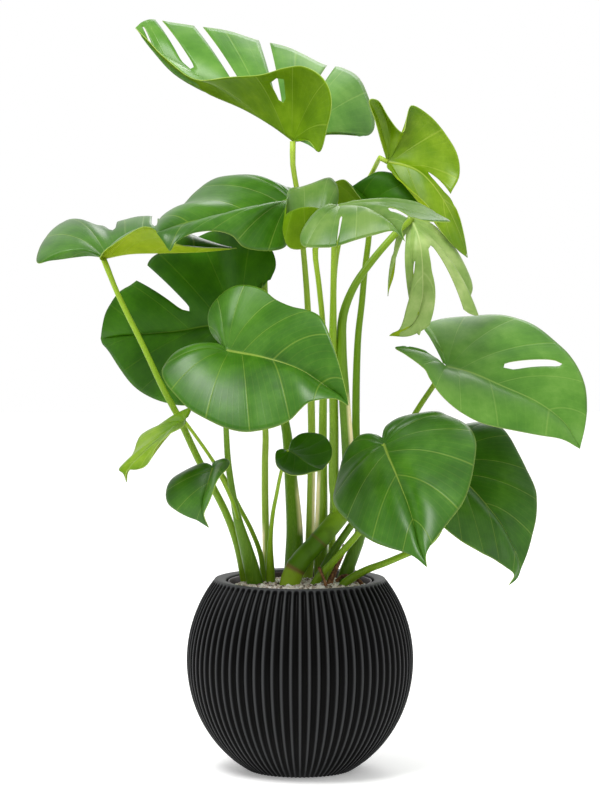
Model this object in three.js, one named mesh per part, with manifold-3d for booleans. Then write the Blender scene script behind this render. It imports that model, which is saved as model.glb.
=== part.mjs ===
// Potted monstera: a Swiss cheese plant in pale granulate, in a culture pot in a matt ribbed ball planter.
// Millimetres, +Z up, the origin at the middle of the planter's foot, -Y towards the front.
import * as THREE from 'three';
import { mergeVertices } from 'three/addons/utils/BufferGeometryUtils.js';
import Module from 'manifold-3d';

const wasm = await Module();
wasm.setup();

// ---------------------------------------------------------------- driving dimensions
const GAP = 0.3; // between pieces that touch

const PLANTER_RADIUS = 145; // at the widest
const PLANTER_HEIGHT = 245;
const PLANTER_WIDEST_Z = 140;
const PLANTER_CURVE_HEIGHT = 158; // vertical half axis of the ball's profile
const PLANTER_OPENING_RADIUS = 94.5;
const PLANTER_WALL = 7; // from the bottom of a groove
const PLANTER_FLOOR = 9;
const RIB_COUNT = 77;
const RIB_DEPTH = 3.4;
const RIB_ROWS = 8;

const LINER_TOP_RADIUS = 92;
const LINER_FOOT_RADIUS = 62;
const LINER_TOP_Z = 242;
const LINER_WALL = 2;

const SUBSTRATE_EDGE_Z = 234;
const SUBSTRATE_CROWN = 5; // the granulate rises this much towards the stems
const SUBSTRATE_RELIEF = 1.6; // how far single grains stand up or lie low
const SUBSTRATE_SIDES = 30;
const SUBSTRATE_RINGS = 9;
const ROOT_DEPTH_Z = 214; // stems stand this deep in their holes

const GAUGE_RADIUS = 3.4;
const GAUGE_TOP_Z = 279;
const GAUGE_PLACE = [68, 46];

const BLADE_THICKNESS = 1.2;
const NOTCH_ROOM = 1.04; // where the halves of a blade meet its petiole, / the petiole's radius
const TUBE_SIDES = 8;

// ---------------------------------------------------------------- finishes
const finish = (color, roughness) => new THREE.MeshStandardMaterial({ color, roughness, metalness: 0 });
const matt_black = finish(0x3a3c3e, 0.75);
const dark_plastic = finish(0x30202a, 0.6);
const pale_granulate = finish(0xb9aea4, 0.95);
const gauge_plastic = finish(0xd4d4d8, 0.35);
const leaf_green = finish(0x3f7f2a, 0.45);
const young_leaf_green = finish(0x6fa62e, 0.45);
const petiole_green = finish(0x6a9a2c, 0.5);
const dark_stem_green = finish(0x35591c, 0.55);
const root_brown = finish(0x5b3a24, 0.85);

const plant = new THREE.Group();

// ---------------------------------------------------------------- solids
function toSolid(geometry) {
  const bare = geometry.clone();
  for (const extra of ['normal', 'uv']) bare.deleteAttribute(extra);
  const merged = mergeVertices(bare, 1e-4);
  return new wasm.Manifold(new wasm.Mesh({
    numProp: 3,
    vertProperties: new Float32Array(merged.attributes.position.array),
    triVerts: new Uint32Array(merged.index.array),
  }));
}

function toGeometry(solid) {
  const mesh = solid.getMesh();
  const geometry = new THREE.BufferGeometry();
  geometry.setAttribute('position', new THREE.BufferAttribute(mesh.vertProperties, 3));
  geometry.setIndex(new THREE.BufferAttribute(mesh.triVerts, 1));
  return geometry;
}

// the biggest body, once a cut has left scraps
function largestBody(solid) {
  const bodies = solid.decompose();
  return bodies.reduce((best, body) => (body.volume() > best.volume() ? body : best));
}

function addPiece(name, shape, material) {
  const mesh = new THREE.Mesh(shape.isBufferGeometry ? shape : toGeometry(shape), material);
  mesh.name = name;
  plant.add(mesh);
  return mesh;
}

function geometryOf(points, triangles) {
  const geometry = new THREE.BufferGeometry().setFromPoints(points);
  geometry.setIndex(triangles);
  return geometry;
}

// rings of the same number of points, joined one to the next and closed at both ends
function loft(rings) {
  const sides = rings[0].length;
  const points = rings.flat();
  const triangles = [];
  for (let row = 0; row + 1 < rings.length; row++) {
    for (let i = 0; i < sides; i++) {
      const a = row * sides + i;
      const b = row * sides + ((i + 1) % sides);
      triangles.push(a, b, b + sides, a, b + sides, a + sides);
    }
  }
  for (const [row, outwards] of [[0, false], [rings.length - 1, true]]) {
    const middle = new THREE.Vector3();
    for (const point of rings[row]) middle.addScaledVector(point, 1 / sides);
    points.push(middle);
    for (let i = 0; i < sides; i++) {
      const a = row * sides + i;
      const b = row * sides + ((i + 1) % sides);
      triangles.push(...(outwards ? [a, b, points.length - 1] : [b, a, points.length - 1]));
    }
  }
  return geometryOf(points, triangles);
}

// a tube along hand-set points, whose radius follows a function of the way along it;
// flat is the ratio of its thickness to its width, higher and deeper lengthen its ends
function taperedTube(places, radiusAt, { sides = TUBE_SIDES, step = 50, flat = 1, higher = 0, deeper = 0 } = {}) {
  const points = places.map((place) => new THREE.Vector3(...place));
  const curve = new THREE.CatmullRomCurve3(points, false, 'centripetal');
  const steps = Math.max(3, Math.round(curve.getLength() / step));
  const frames = curve.computeFrenetFrames(steps, false);
  const rings = [];
  for (let i = 0; i <= steps; i++) {
    const centre = curve.getPointAt(i / steps);
    if (i === 0) centre.addScaledVector(frames.tangents[i], -higher);
    if (i === steps) centre.addScaledVector(frames.tangents[i], deeper);
    const radius = radiusAt(i / steps);
    rings.push(Array.from({ length: sides }, (_, k) => {
      const angle = (2 * Math.PI * k) / sides;
      return centre.clone()
        .addScaledVector(frames.normals[i], radius * Math.cos(angle))
        .addScaledVector(frames.binormals[i], radius * flat * Math.sin(angle));
    }));
  }
  return loft(rings);
}

// ---------------------------------------------------------------- planter, culture pot, water gauge
function planterRadiusAt(z) {
  const rise = (z - PLANTER_WIDEST_Z) / PLANTER_CURVE_HEIGHT;
  return PLANTER_RADIUS * Math.sqrt(1 - rise * rise);
}

function ribbedBall() {
  const rings = [];
  for (let row = 0; row <= RIB_ROWS; row++) {
    const z = (PLANTER_HEIGHT * (1 - Math.cos((Math.PI * row) / RIB_ROWS))) / 2;
    const crest = planterRadiusAt(z);
    rings.push(Array.from({ length: 2 * RIB_COUNT }, (_, i) => {
      const angle = (Math.PI * i) / RIB_COUNT - Math.PI / 2;
      const radius = crest - (i % 2) * RIB_DEPTH;
      return new THREE.Vector3(radius * Math.cos(angle), radius * Math.sin(angle), z);
    }));
  }
  return loft(rings);
}

function turned(profile, sides) {
  const geometry = new THREE.LatheGeometry(profile.map(([radius, z]) => new THREE.Vector2(radius, z)), sides);
  return geometry.rotateX(Math.PI / 2).rotateZ(Math.PI);
}

function planterHollow() {
  const profile = [[0, PLANTER_FLOOR]];
  for (const z of [PLANTER_FLOOR, 60, 120, 175, 218]) {
    profile.push([planterRadiusAt(z) - RIB_DEPTH - PLANTER_WALL, z]);
  }
  const above = PLANTER_HEIGHT + 5;
  profile.push([PLANTER_OPENING_RADIUS, 236], [PLANTER_OPENING_RADIUS, above], [0, above]);
  return turned(profile, 36);
}

function linerRadiusAt(z) {
  const foot = PLANTER_FLOOR + GAP;
  return LINER_FOOT_RADIUS + ((LINER_TOP_RADIUS - LINER_FOOT_RADIUS) * (z - foot)) / (LINER_TOP_Z - foot);
}

addPiece('planter', toSolid(ribbedBall()).subtract(toSolid(planterHollow())), matt_black);

const liner_foot = PLANTER_FLOOR + GAP;
const liner_floor = liner_foot + LINER_WALL;
addPiece('culture_pot', toSolid(turned([
  [0, liner_foot],
  [linerRadiusAt(liner_foot), liner_foot],
  [linerRadiusAt(LINER_TOP_Z), LINER_TOP_Z],
  [linerRadiusAt(LINER_TOP_Z) - LINER_WALL, LINER_TOP_Z],
  [linerRadiusAt(liner_floor) - LINER_WALL, liner_floor],
  [0, liner_floor],
], 36)), dark_plastic);

// ---------------------------------------------------------------- petioles and stems
// [name, radius at the blade, radius at the foot, share of its length that is a swollen sheath,
// its line from the top]
const PETIOLES = [
  ['top_leaf', 3.2, 6, 0.25, [[-9, -3, 801], [-9, -1, 771], [-4, 7, 740], [4, 13, 666], [10, 20, 588],
    [15, 42, 431], [14, 52, 340], [12, 58, 261], [10, 60, 237], [10, 60, ROOT_DEPTH_Z]]],
  ['upper_right_leaf', 2.8, 5, 0.2, [[112, 30, 775], [104, 33, 781], [97, 56, 770], [90, 65, 756],
    [72, 66, 726], [53, 68, 681], [45, 67, 636], [44, 64, 546], [44, 61, 417], [41, 66, 261],
    [40, 66, ROOT_DEPTH_Z]]],
  ['curled_leaf', 3.2, 7.5, 0.5, [[22, -56, 677], [19, -56, 665], [24, -48, 619], [29, -34, 564],
    [29, 0, 435], [28, 20, 343], [27, 32, 290], [27, 36, 238], [27, 36, ROOT_DEPTH_Z]]],
  ['front_leaf', 3.2, 5, 0.3, [[47, -95, 720], [43, -93, 701], [42, -88, 666], [41, -64, 553],
    [43, -27, 437], [43, -6, 371], [46, -1, 327]]],
  ['rear_leaf', 3.6, 8.5, 0.35, [[91, 40, 721], [89, 37, 699], [88, 34, 679], [83, 30, 639], [79, 28, 595],
    [74, 28, 548], [72, 30, 419], [77, 29, 341], [78, 28, 302], [68, 27, 272], [56, 26, 239],
    [55, 26, ROOT_DEPTH_Z]]],
  ['hanging_leaf', 4.2, 6.5, 0.45, [[140, -15, 703], [133, -25, 698], [118, -34, 683], [91, -44, 652],
    [68, -56, 620], [54, -61, 584], [52, -60, 546], [56, -48, 476], [61, -25, 399], [61, -8, 353],
    [56, 0, 329]]],
  ['mid_left_leaf', 4, 11.4, 0.5, [[-10, 5, 728], [-28, 17, 700], [-41, 32, 663], [-46, 47, 624],
    [-41, 64, 559], [-30, 71, 481], [-18, 70, 431], [-12, 60, 370], [-7, 42, 300], [-8, 31, 264],
    [-9, 22, 238], [-9, 22, ROOT_DEPTH_Z]]],
  ['left_leaf', 3.2, 6.2, 0.2, [[-247, -30, 653], [-229, -24, 607], [-199, -17, 544], [-172, -10, 485],
    [-155, -6, 453], [-130, 2, 398], [-110, 12, 358], [-94, 22, 324], [-80, 30, 283], [-70, 36, 234],
    [-68, 38, ROOT_DEPTH_Z]]],
  ['back_left_leaf', 3.2, 4.6, 0.2, [[-77, 33, 569], [-69, 29, 535], [-57, 27, 484], [-45, 29, 439],
    [-45, 36, 389], [-45, 43, 341], [-44, 48, 293], [-43, 50, 239], [-43, 50, ROOT_DEPTH_Z]]],
  ['heart_leaf', 3, 10.4, 0.45, [[-91, -95, 541], [-93, -80, 510], [-94, -60, 477], [-93, -44, 440],
    [-91, -32, 399], [-86, -22, 360], [-79, -12, 321], [-69, -2, 284], [-58, 8, 239],
    [-56, 10, ROOT_DEPTH_Z]]],
  ['right_leaf', 3.2, 5.4, 0.3, [[185, -20, 516], [178, -18, 506], [169, -14, 492], [145, -6, 454],
    [121, 4, 402], [93, 8, 351], [65, 10, 311], [42, 13, 276], [24, 16, 242], [18, 17, ROOT_DEPTH_Z]]],
  ['low_right_leaf', 3, 5.2, 0.35, [[104, -85, 424], [105, -77, 401], [102, -62, 364], [90, -46, 331],
    [71, -34, 303], [44, -22, 271], [19, -12, 240], [12, -10, ROOT_DEPTH_Z]]],
  ['low_back_leaf', 3, 6, 0.3, [[180, 15, 395], [182, 12, 357], [179, 2, 309], [161, -6, 288],
    [132, -12, 276], [108, -14, 266], [87, -12, 258], [66, -8, 246], [55, -7, 236],
    [50, -7, ROOT_DEPTH_Z]]],
  ['small_left_leaf', 2, 2.6, 0.1, [[-109, -70, 393], [-101, -67, 384], [-93, -60, 368], [-84, -42, 345],
    [-79, -14, 322]]],
  ['small_cupped_leaf', 2, 6.4, 0.5, [[-14, -60, 414], [-20, -55, 399], [-25, -46, 380], [-30, -36, 354],
    [-34, -26, 333], [-38, -6, 291], [-38, 14, 240], [-38, 14, ROOT_DEPTH_Z]]],
  ['lance_leaf', 2, 4, 0.3, [[-145, -55, 450], [-136, -52, 438], [-119, -42, 413], [-105, -28, 390],
    [-94, -14, 372], [-78, 2, 337], [-62, 18, 304], [-50, 29, 269], [-47, 32, 234],
    [-47, 32, ROOT_DEPTH_Z]]],
];

// ---------------------------------------------------------------- leaf blades
// A blade is given by the line of its midrib, from the petiole to the drip tip, and by the margin of its left
// and its right half, from the notch to the tip, as they hang in space. Side veins join the two.
// VEIN_ROOTS: where the veins that reach the margin at even steps leave the midrib / length. fan: the higher,
// the closer to the petiole they start. belly: how far each half swells from the straight.
// Slits: [way along the margin, half, inner end, outer end, half width there and there]
const VEIN_ROOTS = [0.000, 0.006, 0.014, 0.030, 0.080, 0.240, 0.500, 0.780, 0.970];

const LEAVES = [
  { name: 'top_leaf', length: 297, fan: 2.2, colour: leaf_green,
    belly: [[0, 12, 10], [0, -5, 6]],
    midrib: [[-9, -3, 801], [-38, 22, 822], [-74, 50, 843], [-119, 80, 863], [-162, 102, 888],
      [-192, 115, 920], [-214, 122, 949]],
    left: [[-4, -8, 800], [11, -25, 801], [24, -45, 787], [32, -62, 812], [38, -75, 848], [29, -72, 876],
      [4, -60, 892], [-20, -42, 891], [-48, -22, 884], [-89, 8, 882], [-135, 42, 881], [-174, 85, 909],
      [-197, 108, 932], [-214, 122, 949]],
    right: [[-5, 4, 803], [15, 20, 805], [38, 45, 811], [67, 72, 811], [87, 95, 809], [96, 112, 823],
      [90, 128, 855], [77, 140, 884], [56, 148, 898], [31, 153, 903], [-13, 158, 925], [-55, 162, 935],
      [-95, 163, 948], [-131, 162, 953], [-168, 158, 958], [-194, 148, 961], [-206, 136, 957],
      [-214, 122, 949]],
    slits: [[0.509, 'right', 0.25, 1, 0.02, 0.0124], [0.577, 'left', 0.45, 0.85, 0.02, 0.032],
      [0.635, 'right', 0.25, 1, 0.012, 0.01], [0.768, 'right', 0.25, 1, 0.012, 0.0095],
      [0.859, 'right', 0.25, 1, 0.012, 0.011], [0.95, 'right', 0.25, 0.85, 0.006, 0.006]] },
  { name: 'upper_right_leaf', length: 178, fan: 2, colour: young_leaf_green,
    belly: [[4, 10, 4], [-3, -6, -3]],
    midrib: [[112, 30, 775], [134, 20, 771], [154, 10, 761], [175, 0, 737], [192, -5, 707], [205, -6, 676],
      [212, -4, 654]],
    left: [[110, 28, 780], [103, 15, 800], [95, 5, 828], [87, 0, 852], [100, 6, 852], [113, 14, 831],
      [130, 22, 813], [136, 26, 833], [143, 28, 847], [166, 30, 833], [186, 28, 809], [200, 24, 784],
      [202, 18, 757], [190, 8, 731], [199, 2, 714], [206, -1, 692], [210, -3, 671], [212, -4, 654]],
    right: [[112, 26, 770], [114, 16, 765], [122, 6, 756], [134, -4, 745], [151, -14, 730],
      [166, -18, 712], [174, -18, 692], [186, -14, 677], [199, -8, 664], [212, -4, 654]],
    slits: [[0.785, 'left', 0.25, 1, 0.042, 0.03]] },
  { name: 'curled_leaf', length: 110, fan: 1.4, colour: leaf_green,
    belly: [[0, -6, 2], [0, -8, 8]],
    midrib: [[22, -56, 677], [10, -60, 669], [-4, -66, 666], [-15, -72, 670], [-20, -76, 683],
      [-21, -78, 695], [-17, -78, 710]],
    left: [[26, -60, 680], [30, -66, 693], [31, -72, 708], [26, -76, 716], [15, -80, 719], [0, -84, 718],
      [-11, -84, 714], [-17, -78, 710]],
    right: [[25, -50, 681], [38, -40, 700], [47, -30, 721], [48, -22, 740], [43, -16, 751], [35, -12, 755],
      [16, -8, 748], [0, -10, 743], [-14, -20, 740], [-16, -50, 726], [-17, -78, 710]],
    slits: [] },
  { name: 'front_leaf', length: 178, fan: 1.6, colour: leaf_green,
    belly: [[0, 4, 6], [0, -6, 10]],
    midrib: [[47, -95, 720], [64, -102, 721], [78, -112, 719], [91, -132, 712], [105, -157, 702],
      [117, -185, 689], [126, -205, 679]],
    left: [[51, -90, 721], [62, -82, 723], [81, -80, 721], [105, -80, 723], [126, -84, 726],
      [142, -94, 725], [158, -108, 718], [168, -125, 711], [183, -150, 703], [172, -158, 702],
      [151, -165, 704], [135, -172, 707], [126, -182, 701], [123, -192, 691], [126, -205, 679]],
    right: [[44, -96, 718], [33, -98, 720], [21, -108, 715], [10, -122, 703], [1, -138, 688],
      [1, -150, 676], [7, -158, 671], [24, -166, 670], [41, -170, 671], [52, -172, 674], [69, -174, 680],
      [91, -180, 686], [109, -186, 691], [118, -194, 688], [126, -205, 679]],
    slits: [[0.6, 'right', 0.45, 1, 0.014, 0.006], [0.8, 'left', 0.45, 1, 0.02, 0.012]] },
  { name: 'mid_left_leaf', length: 178, fan: 1.3, colour: leaf_green,
    belly: [[0, -10, 8], [0, -4, 12]],
    midrib: [[-10, 5, 728], [-38, -8, 719], [-69, -24, 712], [-103, -44, 706], [-137, -66, 700],
      [-161, -86, 693], [-177, -98, 687]],
    left: [[-13, -4, 723], [-11, -22, 702], [-14, -40, 677], [-24, -55, 666], [-47, -68, 664],
      [-70, -78, 669], [-84, -86, 683], [-102, -92, 689], [-120, -98, 689], [-138, -106, 685],
      [-153, -112, 676], [-160, -114, 665], [-169, -108, 677], [-177, -98, 687]],
    right: [[-11, 12, 733], [-8, 32, 739], [-23, 50, 741], [-41, 62, 743], [-62, 70, 751], [-82, 74, 757],
      [-103, 70, 755], [-121, 60, 746], [-136, 44, 733], [-149, 20, 719], [-164, -12, 713],
      [-175, -48, 704], [-178, -76, 695], [-177, -98, 687]],
    slits: [] },
  { name: 'rear_leaf', length: 123, fan: 1.4, colour: leaf_green,
    belly: [[0, 0, 3], [0, -6, 6]],
    midrib: [[91, 40, 721], [70, 45, 723], [49, 50, 721], [28, 52, 720], [13, 50, 719]],
    left: [[89, 36, 719], [82, 30, 723], [74, 25, 732], [66, 23, 742], [55, 23, 752], [38, 27, 746],
      [23, 35, 733], [13, 50, 719]],
    right: [[95, 42, 723], [121, 30, 716], [153, 20, 711], [174, 14, 710], [176, 18, 720], [169, 25, 732],
      [153, 33, 742], [134, 40, 753], [115, 45, 761], [100, 47, 762], [87, 48, 755], [64, 51, 739],
      [38, 54, 729], [13, 50, 719]],
    slits: [] },
  { name: 'hanging_leaf', length: 163, fan: 2, colour: leaf_green,
    belly: [[8, -5, 8], [-7, -5, 8]],
    midrib: [[140, -15, 703], [147, -30, 687], [152, -40, 665], [154, -46, 633], [153, -48, 602],
      [141, -48, 571], [112, -46, 557]],
    left: [[143, -12, 706], [157, 0, 702], [174, 10, 684], [191, 14, 661], [211, 14, 640], [219, 10, 615],
      [212, 4, 592], [225, -20, 582], [214, -30, 584], [195, -40, 596], [176, -46, 590], [163, -48, 571],
      [138, -47, 557], [112, -46, 557]],
    right: [[138, -14, 704], [129, -12, 699], [121, -16, 685], [121, -24, 664], [118, -30, 633],
      [111, -34, 605], [126, -40, 589], [136, -45, 579], [149, -49, 558], [152, -49, 571], [146, -48, 565],
      [133, -47, 559], [123, -47, 557], [112, -46, 557]],
    slits: [[0.46, 'right', 0.25, 1, 0.02, 0.075], [0.5, 'left', 0.25, 1, 0.035, 0.025],
      [0.74, 'left', 0.25, 1, 0.03, 0.045], [0.77, 'right', 0.25, 1, 0.02, 0.045]] },
  { name: 'left_leaf', length: 180, fan: 1.3, colour: young_leaf_green,
    belly: [[0, -6, 14], [0, 9, 6]],
    midrib: [[-247, -30, 653], [-214, -22, 659], [-171, -10, 660], [-127, 2, 661], [-80, 14, 665]],
    left: [[-251, -26, 655], [-267, -30, 657], [-292, -34, 654], [-314, -34, 651], [-331, -25, 648],
      [-330, 10, 667], [-321, 50, 685], [-307, 78, 697], [-293, 95, 701], [-263, 105, 690],
      [-224, 108, 700], [-197, 102, 704], [-175, 88, 696], [-142, 62, 678], [-109, 38, 668], [-80, 14, 665]],
    right: [[-246, -38, 650], [-250, -58, 655], [-241, -74, 665], [-223, -82, 677], [-205, -84, 689],
      [-189, -80, 694], [-174, -68, 685], [-158, -52, 674], [-132, -32, 668], [-107, -10, 666],
      [-80, 14, 665]],
    slits: [[0.62, 'left', 0.45, 1, 0.01, 0.028], [0.76, 'left', 0.45, 1, 0.01, 0.012]] },
  { name: 'back_left_leaf', length: 241, fan: 1.4, colour: leaf_green,
    belly: [[0, -10, 4], [0, -10, 4]],
    midrib: [[-77, 33, 569], [-100, 50, 566], [-123, 70, 563], [-156, 93, 556], [-196, 118, 551],
      [-230, 143, 547], [-264, 174, 542]],
    left: [[-72, -2, 565], [-62, -23, 547], [-64, -32, 518], [-83, -25, 490], [-113, -7, 471],
      [-147, 22, 464], [-175, 54, 466], [-199, 85, 473], [-217, 112, 483], [-234, 138, 500],
      [-251, 159, 524], [-261, 171, 535], [-264, 174, 542]],
    right: [[-71, 6, 576], [-56, 5, 596], [-48, 6, 615], [-46, 7, 624], [-37, 6, 629], [-31, 7, 641],
      [-32, 9, 655], [-39, 14, 667], [-57, 27, 677], [-81, 48, 684], [-110, 85, 686], [-130, 98, 679],
      [-147, 108, 670], [-167, 116, 661], [-186, 122, 655], [-197, 127, 645], [-202, 131, 630],
      [-220, 136, 615], [-236, 140, 605], [-247, 145, 592], [-256, 150, 576], [-261, 156, 557],
      [-264, 174, 542]],
    slits: [[0.727, 'right', 0.25, 1, 0.016, 0.03]] },
  { name: 'heart_leaf', length: 205, fan: 1.5, colour: leaf_green,
    belly: [[0, 2, 10], [0, -6, 10]],
    midrib: [[-91, -95, 541], [-68, -112, 538], [-47, -131, 535], [-18, -150, 528], [6, -171, 519],
      [30, -190, 504], [48, -205, 493], [58, -219, 482]],
    left: [[-94, -72, 544], [-107, -70, 557], [-114, -66, 570], [-114, -63, 588], [-104, -62, 605],
      [-87, -64, 618], [-69, -70, 622], [-47, -82, 617], [-30, -100, 605], [-10, -121, 597],
      [12, -143, 593], [27, -162, 584], [36, -179, 565], [45, -194, 540], [52, -207, 513], [57, -214, 492],
      [58, -219, 482]],
    right: [[-96, -79, 541], [-110, -80, 546], [-124, -82, 548], [-142, -88, 545], [-156, -98, 537],
      [-167, -108, 524], [-170, -117, 514], [-164, -127, 501], [-152, -139, 488], [-136, -153, 473],
      [-115, -168, 462], [-91, -182, 452], [-70, -193, 448], [-51, -202, 450], [-30, -208, 455],
      [-12, -213, 464], [0, -216, 476], [10, -217, 485], [24, -218, 489], [43, -219, 490], [58, -219, 482]],
    slits: [] },
  { name: 'right_leaf', length: 205, fan: 1.6, colour: leaf_green,
    belly: [[0, 4, 9], [0, -4, 8]],
    midrib: [[185, -20, 516], [215, -24, 509], [253, -28, 493], [300, -34, 472], [334, -42, 446],
      [352, -48, 415]],
    left: [[181, -16, 521], [175, 0, 534], [166, 25, 551], [159, 48, 565], [180, 60, 573], [219, 68, 577],
      [262, 70, 578], [297, 62, 568], [325, 45, 548], [347, 25, 525], [361, 2, 495], [363, -18, 464],
      [359, -36, 440], [352, -48, 415]],
    right: [[178, -26, 518], [153, -40, 535], [132, -50, 543], [119, -56, 542], [133, -64, 533],
      [154, -72, 518], [162, -78, 504], [177, -84, 483], [197, -88, 466], [224, -88, 451], [255, -84, 443],
      [293, -76, 435], [328, -62, 428], [352, -48, 415]],
    slits: [[0.72, 'left', 0.25, 0.85, 0.018, 0.012]] },
  { name: 'low_right_leaf', length: 214, fan: 1.6, colour: leaf_green,
    belly: [[0, -4, 10], [0, -6, 10]],
    midrib: [[104, -85, 424], [109, -107, 411], [116, -130, 396], [124, -155, 377], [132, -180, 357],
      [138, -204, 336], [143, -226, 314], [152, -248, 290]],
    left: [[106, -65, 427], [105, -65, 439], [110, -63, 447], [122, -62, 454], [139, -61, 459],
      [157, -63, 462], [173, -66, 463], [187, -74, 458], [203, -88, 451], [213, -107, 442],
      [217, -130, 428], [214, -155, 409], [208, -180, 387], [199, -201, 366], [183, -218, 346],
      [168, -230, 329], [156, -238, 314], [151, -244, 303], [152, -248, 290]],
    right: [[102, -65, 424], [96, -64, 430], [88, -63, 434], [76, -61, 432], [65, -59, 423],
      [56, -59, 409], [50, -63, 391], [45, -72, 370], [42, -85, 355], [47, -101, 344], [58, -122, 333],
      [71, -148, 322], [88, -176, 313], [107, -201, 308], [124, -220, 305], [137, -235, 301],
      [152, -248, 290]],
    slits: [] },
  { name: 'low_back_leaf', length: 188, fan: 1.5, colour: leaf_green,
    belly: [[0, 0, 8], [0, -6, 8]],
    midrib: [[180, 15, 395], [201, 0, 377], [220, -13, 359], [237, -25, 340], [253, -35, 320],
      [265, -44, 298], [275, -50, 274], [273, -54, 256], [263, -56, 243]],
    left: [[184, 33, 400], [191, 48, 417], [204, 57, 431], [220, 61, 437], [239, 61, 438], [258, 57, 433],
      [269, 51, 423], [280, 41, 403], [291, 29, 381], [300, 17, 360], [302, 5, 345], [300, -8, 323],
      [294, -22, 302], [287, -36, 282], [279, -47, 264], [273, -53, 251], [263, -56, 243]],
    right: [[177, 25, 390], [165, -4, 376], [162, -40, 354], [168, -67, 333], [181, -75, 318],
      [203, -76, 301], [226, -73, 287], [242, -69, 278], [258, -64, 267], [269, -60, 257], [263, -56, 243]],
    slits: [] },
  { name: 'small_left_leaf', length: 82, fan: 1.3, colour: leaf_green,
    belly: [[0, -4, 3], [0, -4, 4]],
    midrib: [[-109, -70, 393], [-115, -78, 373], [-121, -83, 354], [-121, -84, 336], [-114, -82, 319]],
    left: [[-106, -70, 394], [-109, -73, 399], [-102, -81, 404], [-93, -94, 407], [-87, -107, 404],
      [-89, -115, 397], [-96, -119, 390], [-103, -121, 380], [-108, -120, 366], [-114, -115, 351],
      [-119, -107, 339], [-117, -96, 329], [-114, -82, 319]],
    right: [[-112, -64, 392], [-117, -56, 396], [-125, -48, 396], [-135, -42, 391], [-149, -41, 384],
      [-162, -46, 375], [-168, -54, 362], [-166, -62, 348], [-155, -70, 339], [-141, -75, 332],
      [-129, -79, 328], [-120, -81, 323], [-114, -82, 319]],
    slits: [] },
  { name: 'small_cupped_leaf', length: 79, fan: 1.3, colour: leaf_green,
    belly: [[0, -2, -4], [0, -2, -6]],
    midrib: [[-14, -60, 414], [-5, -74, 410], [4, -88, 404], [15, -103, 398], [28, -121, 395]],
    left: [[-13, -47, 418], [-9, -44, 426], [1, -43, 433], [14, -47, 435], [28, -58, 433], [36, -72, 427],
      [40, -86, 418], [39, -100, 408], [33, -110, 400], [28, -121, 395]],
    right: [[-18, -53, 414], [-24, -54, 415], [-30, -57, 412], [-31, -66, 404], [-29, -81, 396],
      [-21, -95, 390], [-11, -105, 387], [2, -111, 388], [16, -116, 392], [28, -121, 395]],
    slits: [] },
  { name: 'lance_leaf', length: 105, fan: 1.3, colour: young_leaf_green,
    belly: [[0, -3, 4], [0, -3, 4]],
    midrib: [[-145, -55, 450], [-161, -58, 441], [-177, -62, 427], [-190, -65, 412], [-204, -68, 399],
      [-215, -70, 388], [-217, -71, 375]],
    left: [[-141, -105, 452], [-145, -107, 447], [-159, -108, 440], [-171, -108, 430], [-179, -105, 420],
      [-184, -101, 408], [-192, -94, 397], [-204, -86, 392], [-215, -80, 391], [-218, -75, 383],
      [-217, -71, 375]],
    right: [[-141, -48, 455], [-138, -30, 464], [-149, -17, 460], [-165, -13, 451], [-183, -15, 439],
      [-198, -21, 432], [-205, -29, 424], [-209, -38, 411], [-215, -48, 401], [-224, -55, 394],
      [-227, -61, 389], [-221, -66, 385], [-217, -71, 375]],
    slits: [] },
];

const LARGE_LEAF = 120; // longer blades get more rows and columns

function smoothLine(places) {
  return new THREE.CatmullRomCurve3(places.map((place) => new THREE.Vector3(...place)), false, 'catmullrom');
}

function bladeCurves(leaf) {
  const root = new THREE.SplineCurve(VEIN_ROOTS.map((way) => new THREE.Vector2(way, 0)));
  const [midrib, left, right] = [leaf.midrib, leaf.left, leaf.right].map(smoothLine);
  return { root, midrib, left, right };
}

// u runs along the margin from the notch to the tip, s from the midrib to the margin
function bladePlace(leaf, curves, u, s, side) {
  const root = curves.midrib.getPoint(Math.max(0, curves.root.getPoint(u).x) ** leaf.fan);
  const margin = (side > 0 ? curves.left : curves.right).getPoint(u);
  const swell = 4 * s * (1 - s) * Math.min(1, root.distanceTo(margin) / (leaf.length * 0.4));
  return new THREE.Vector3().lerpVectors(root, margin, s)
    .addScaledVector(new THREE.Vector3(...leaf.belly[side > 0 ? 0 : 1]), swell);
}

// The columns of the blade's grid: stretches between slit edges, cut evenly. edge(s) is where a column runs.
function bladeColumns(leaf, step) {
  const edges = [{ edge: () => 0 }];
  for (const [middle, half, inner, outer, innerWidth, outerWidth] of leaf.slits) {
    const width = (s) => THREE.MathUtils.mapLinear(
      THREE.MathUtils.clamp(s, inner, outer), inner, outer, innerWidth, outerWidth);
    edges.push({ edge: (s) => middle - width(s), slit: { half, inner, outer } });
    edges.push({ edge: (s) => middle + width(s) });
  }
  edges.push({ edge: () => 1 });
  const columns = [];
  for (let i = 0; i + 1 < edges.length; i++) {
    const [from, to] = [edges[i], edges[i + 1]];
    const parts = from.slit ? 1 : Math.max(1, Math.round((to.edge(1) - from.edge(1)) / step));
    for (let k = 0; k < parts; k++) {
      const edge = (s) => THREE.MathUtils.lerp(from.edge(s), to.edge(s), k / parts);
      columns.push({ edge, slit: from.slit });
    }
  }
  columns.push(edges[edges.length - 1]);
  return columns;
}

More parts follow.
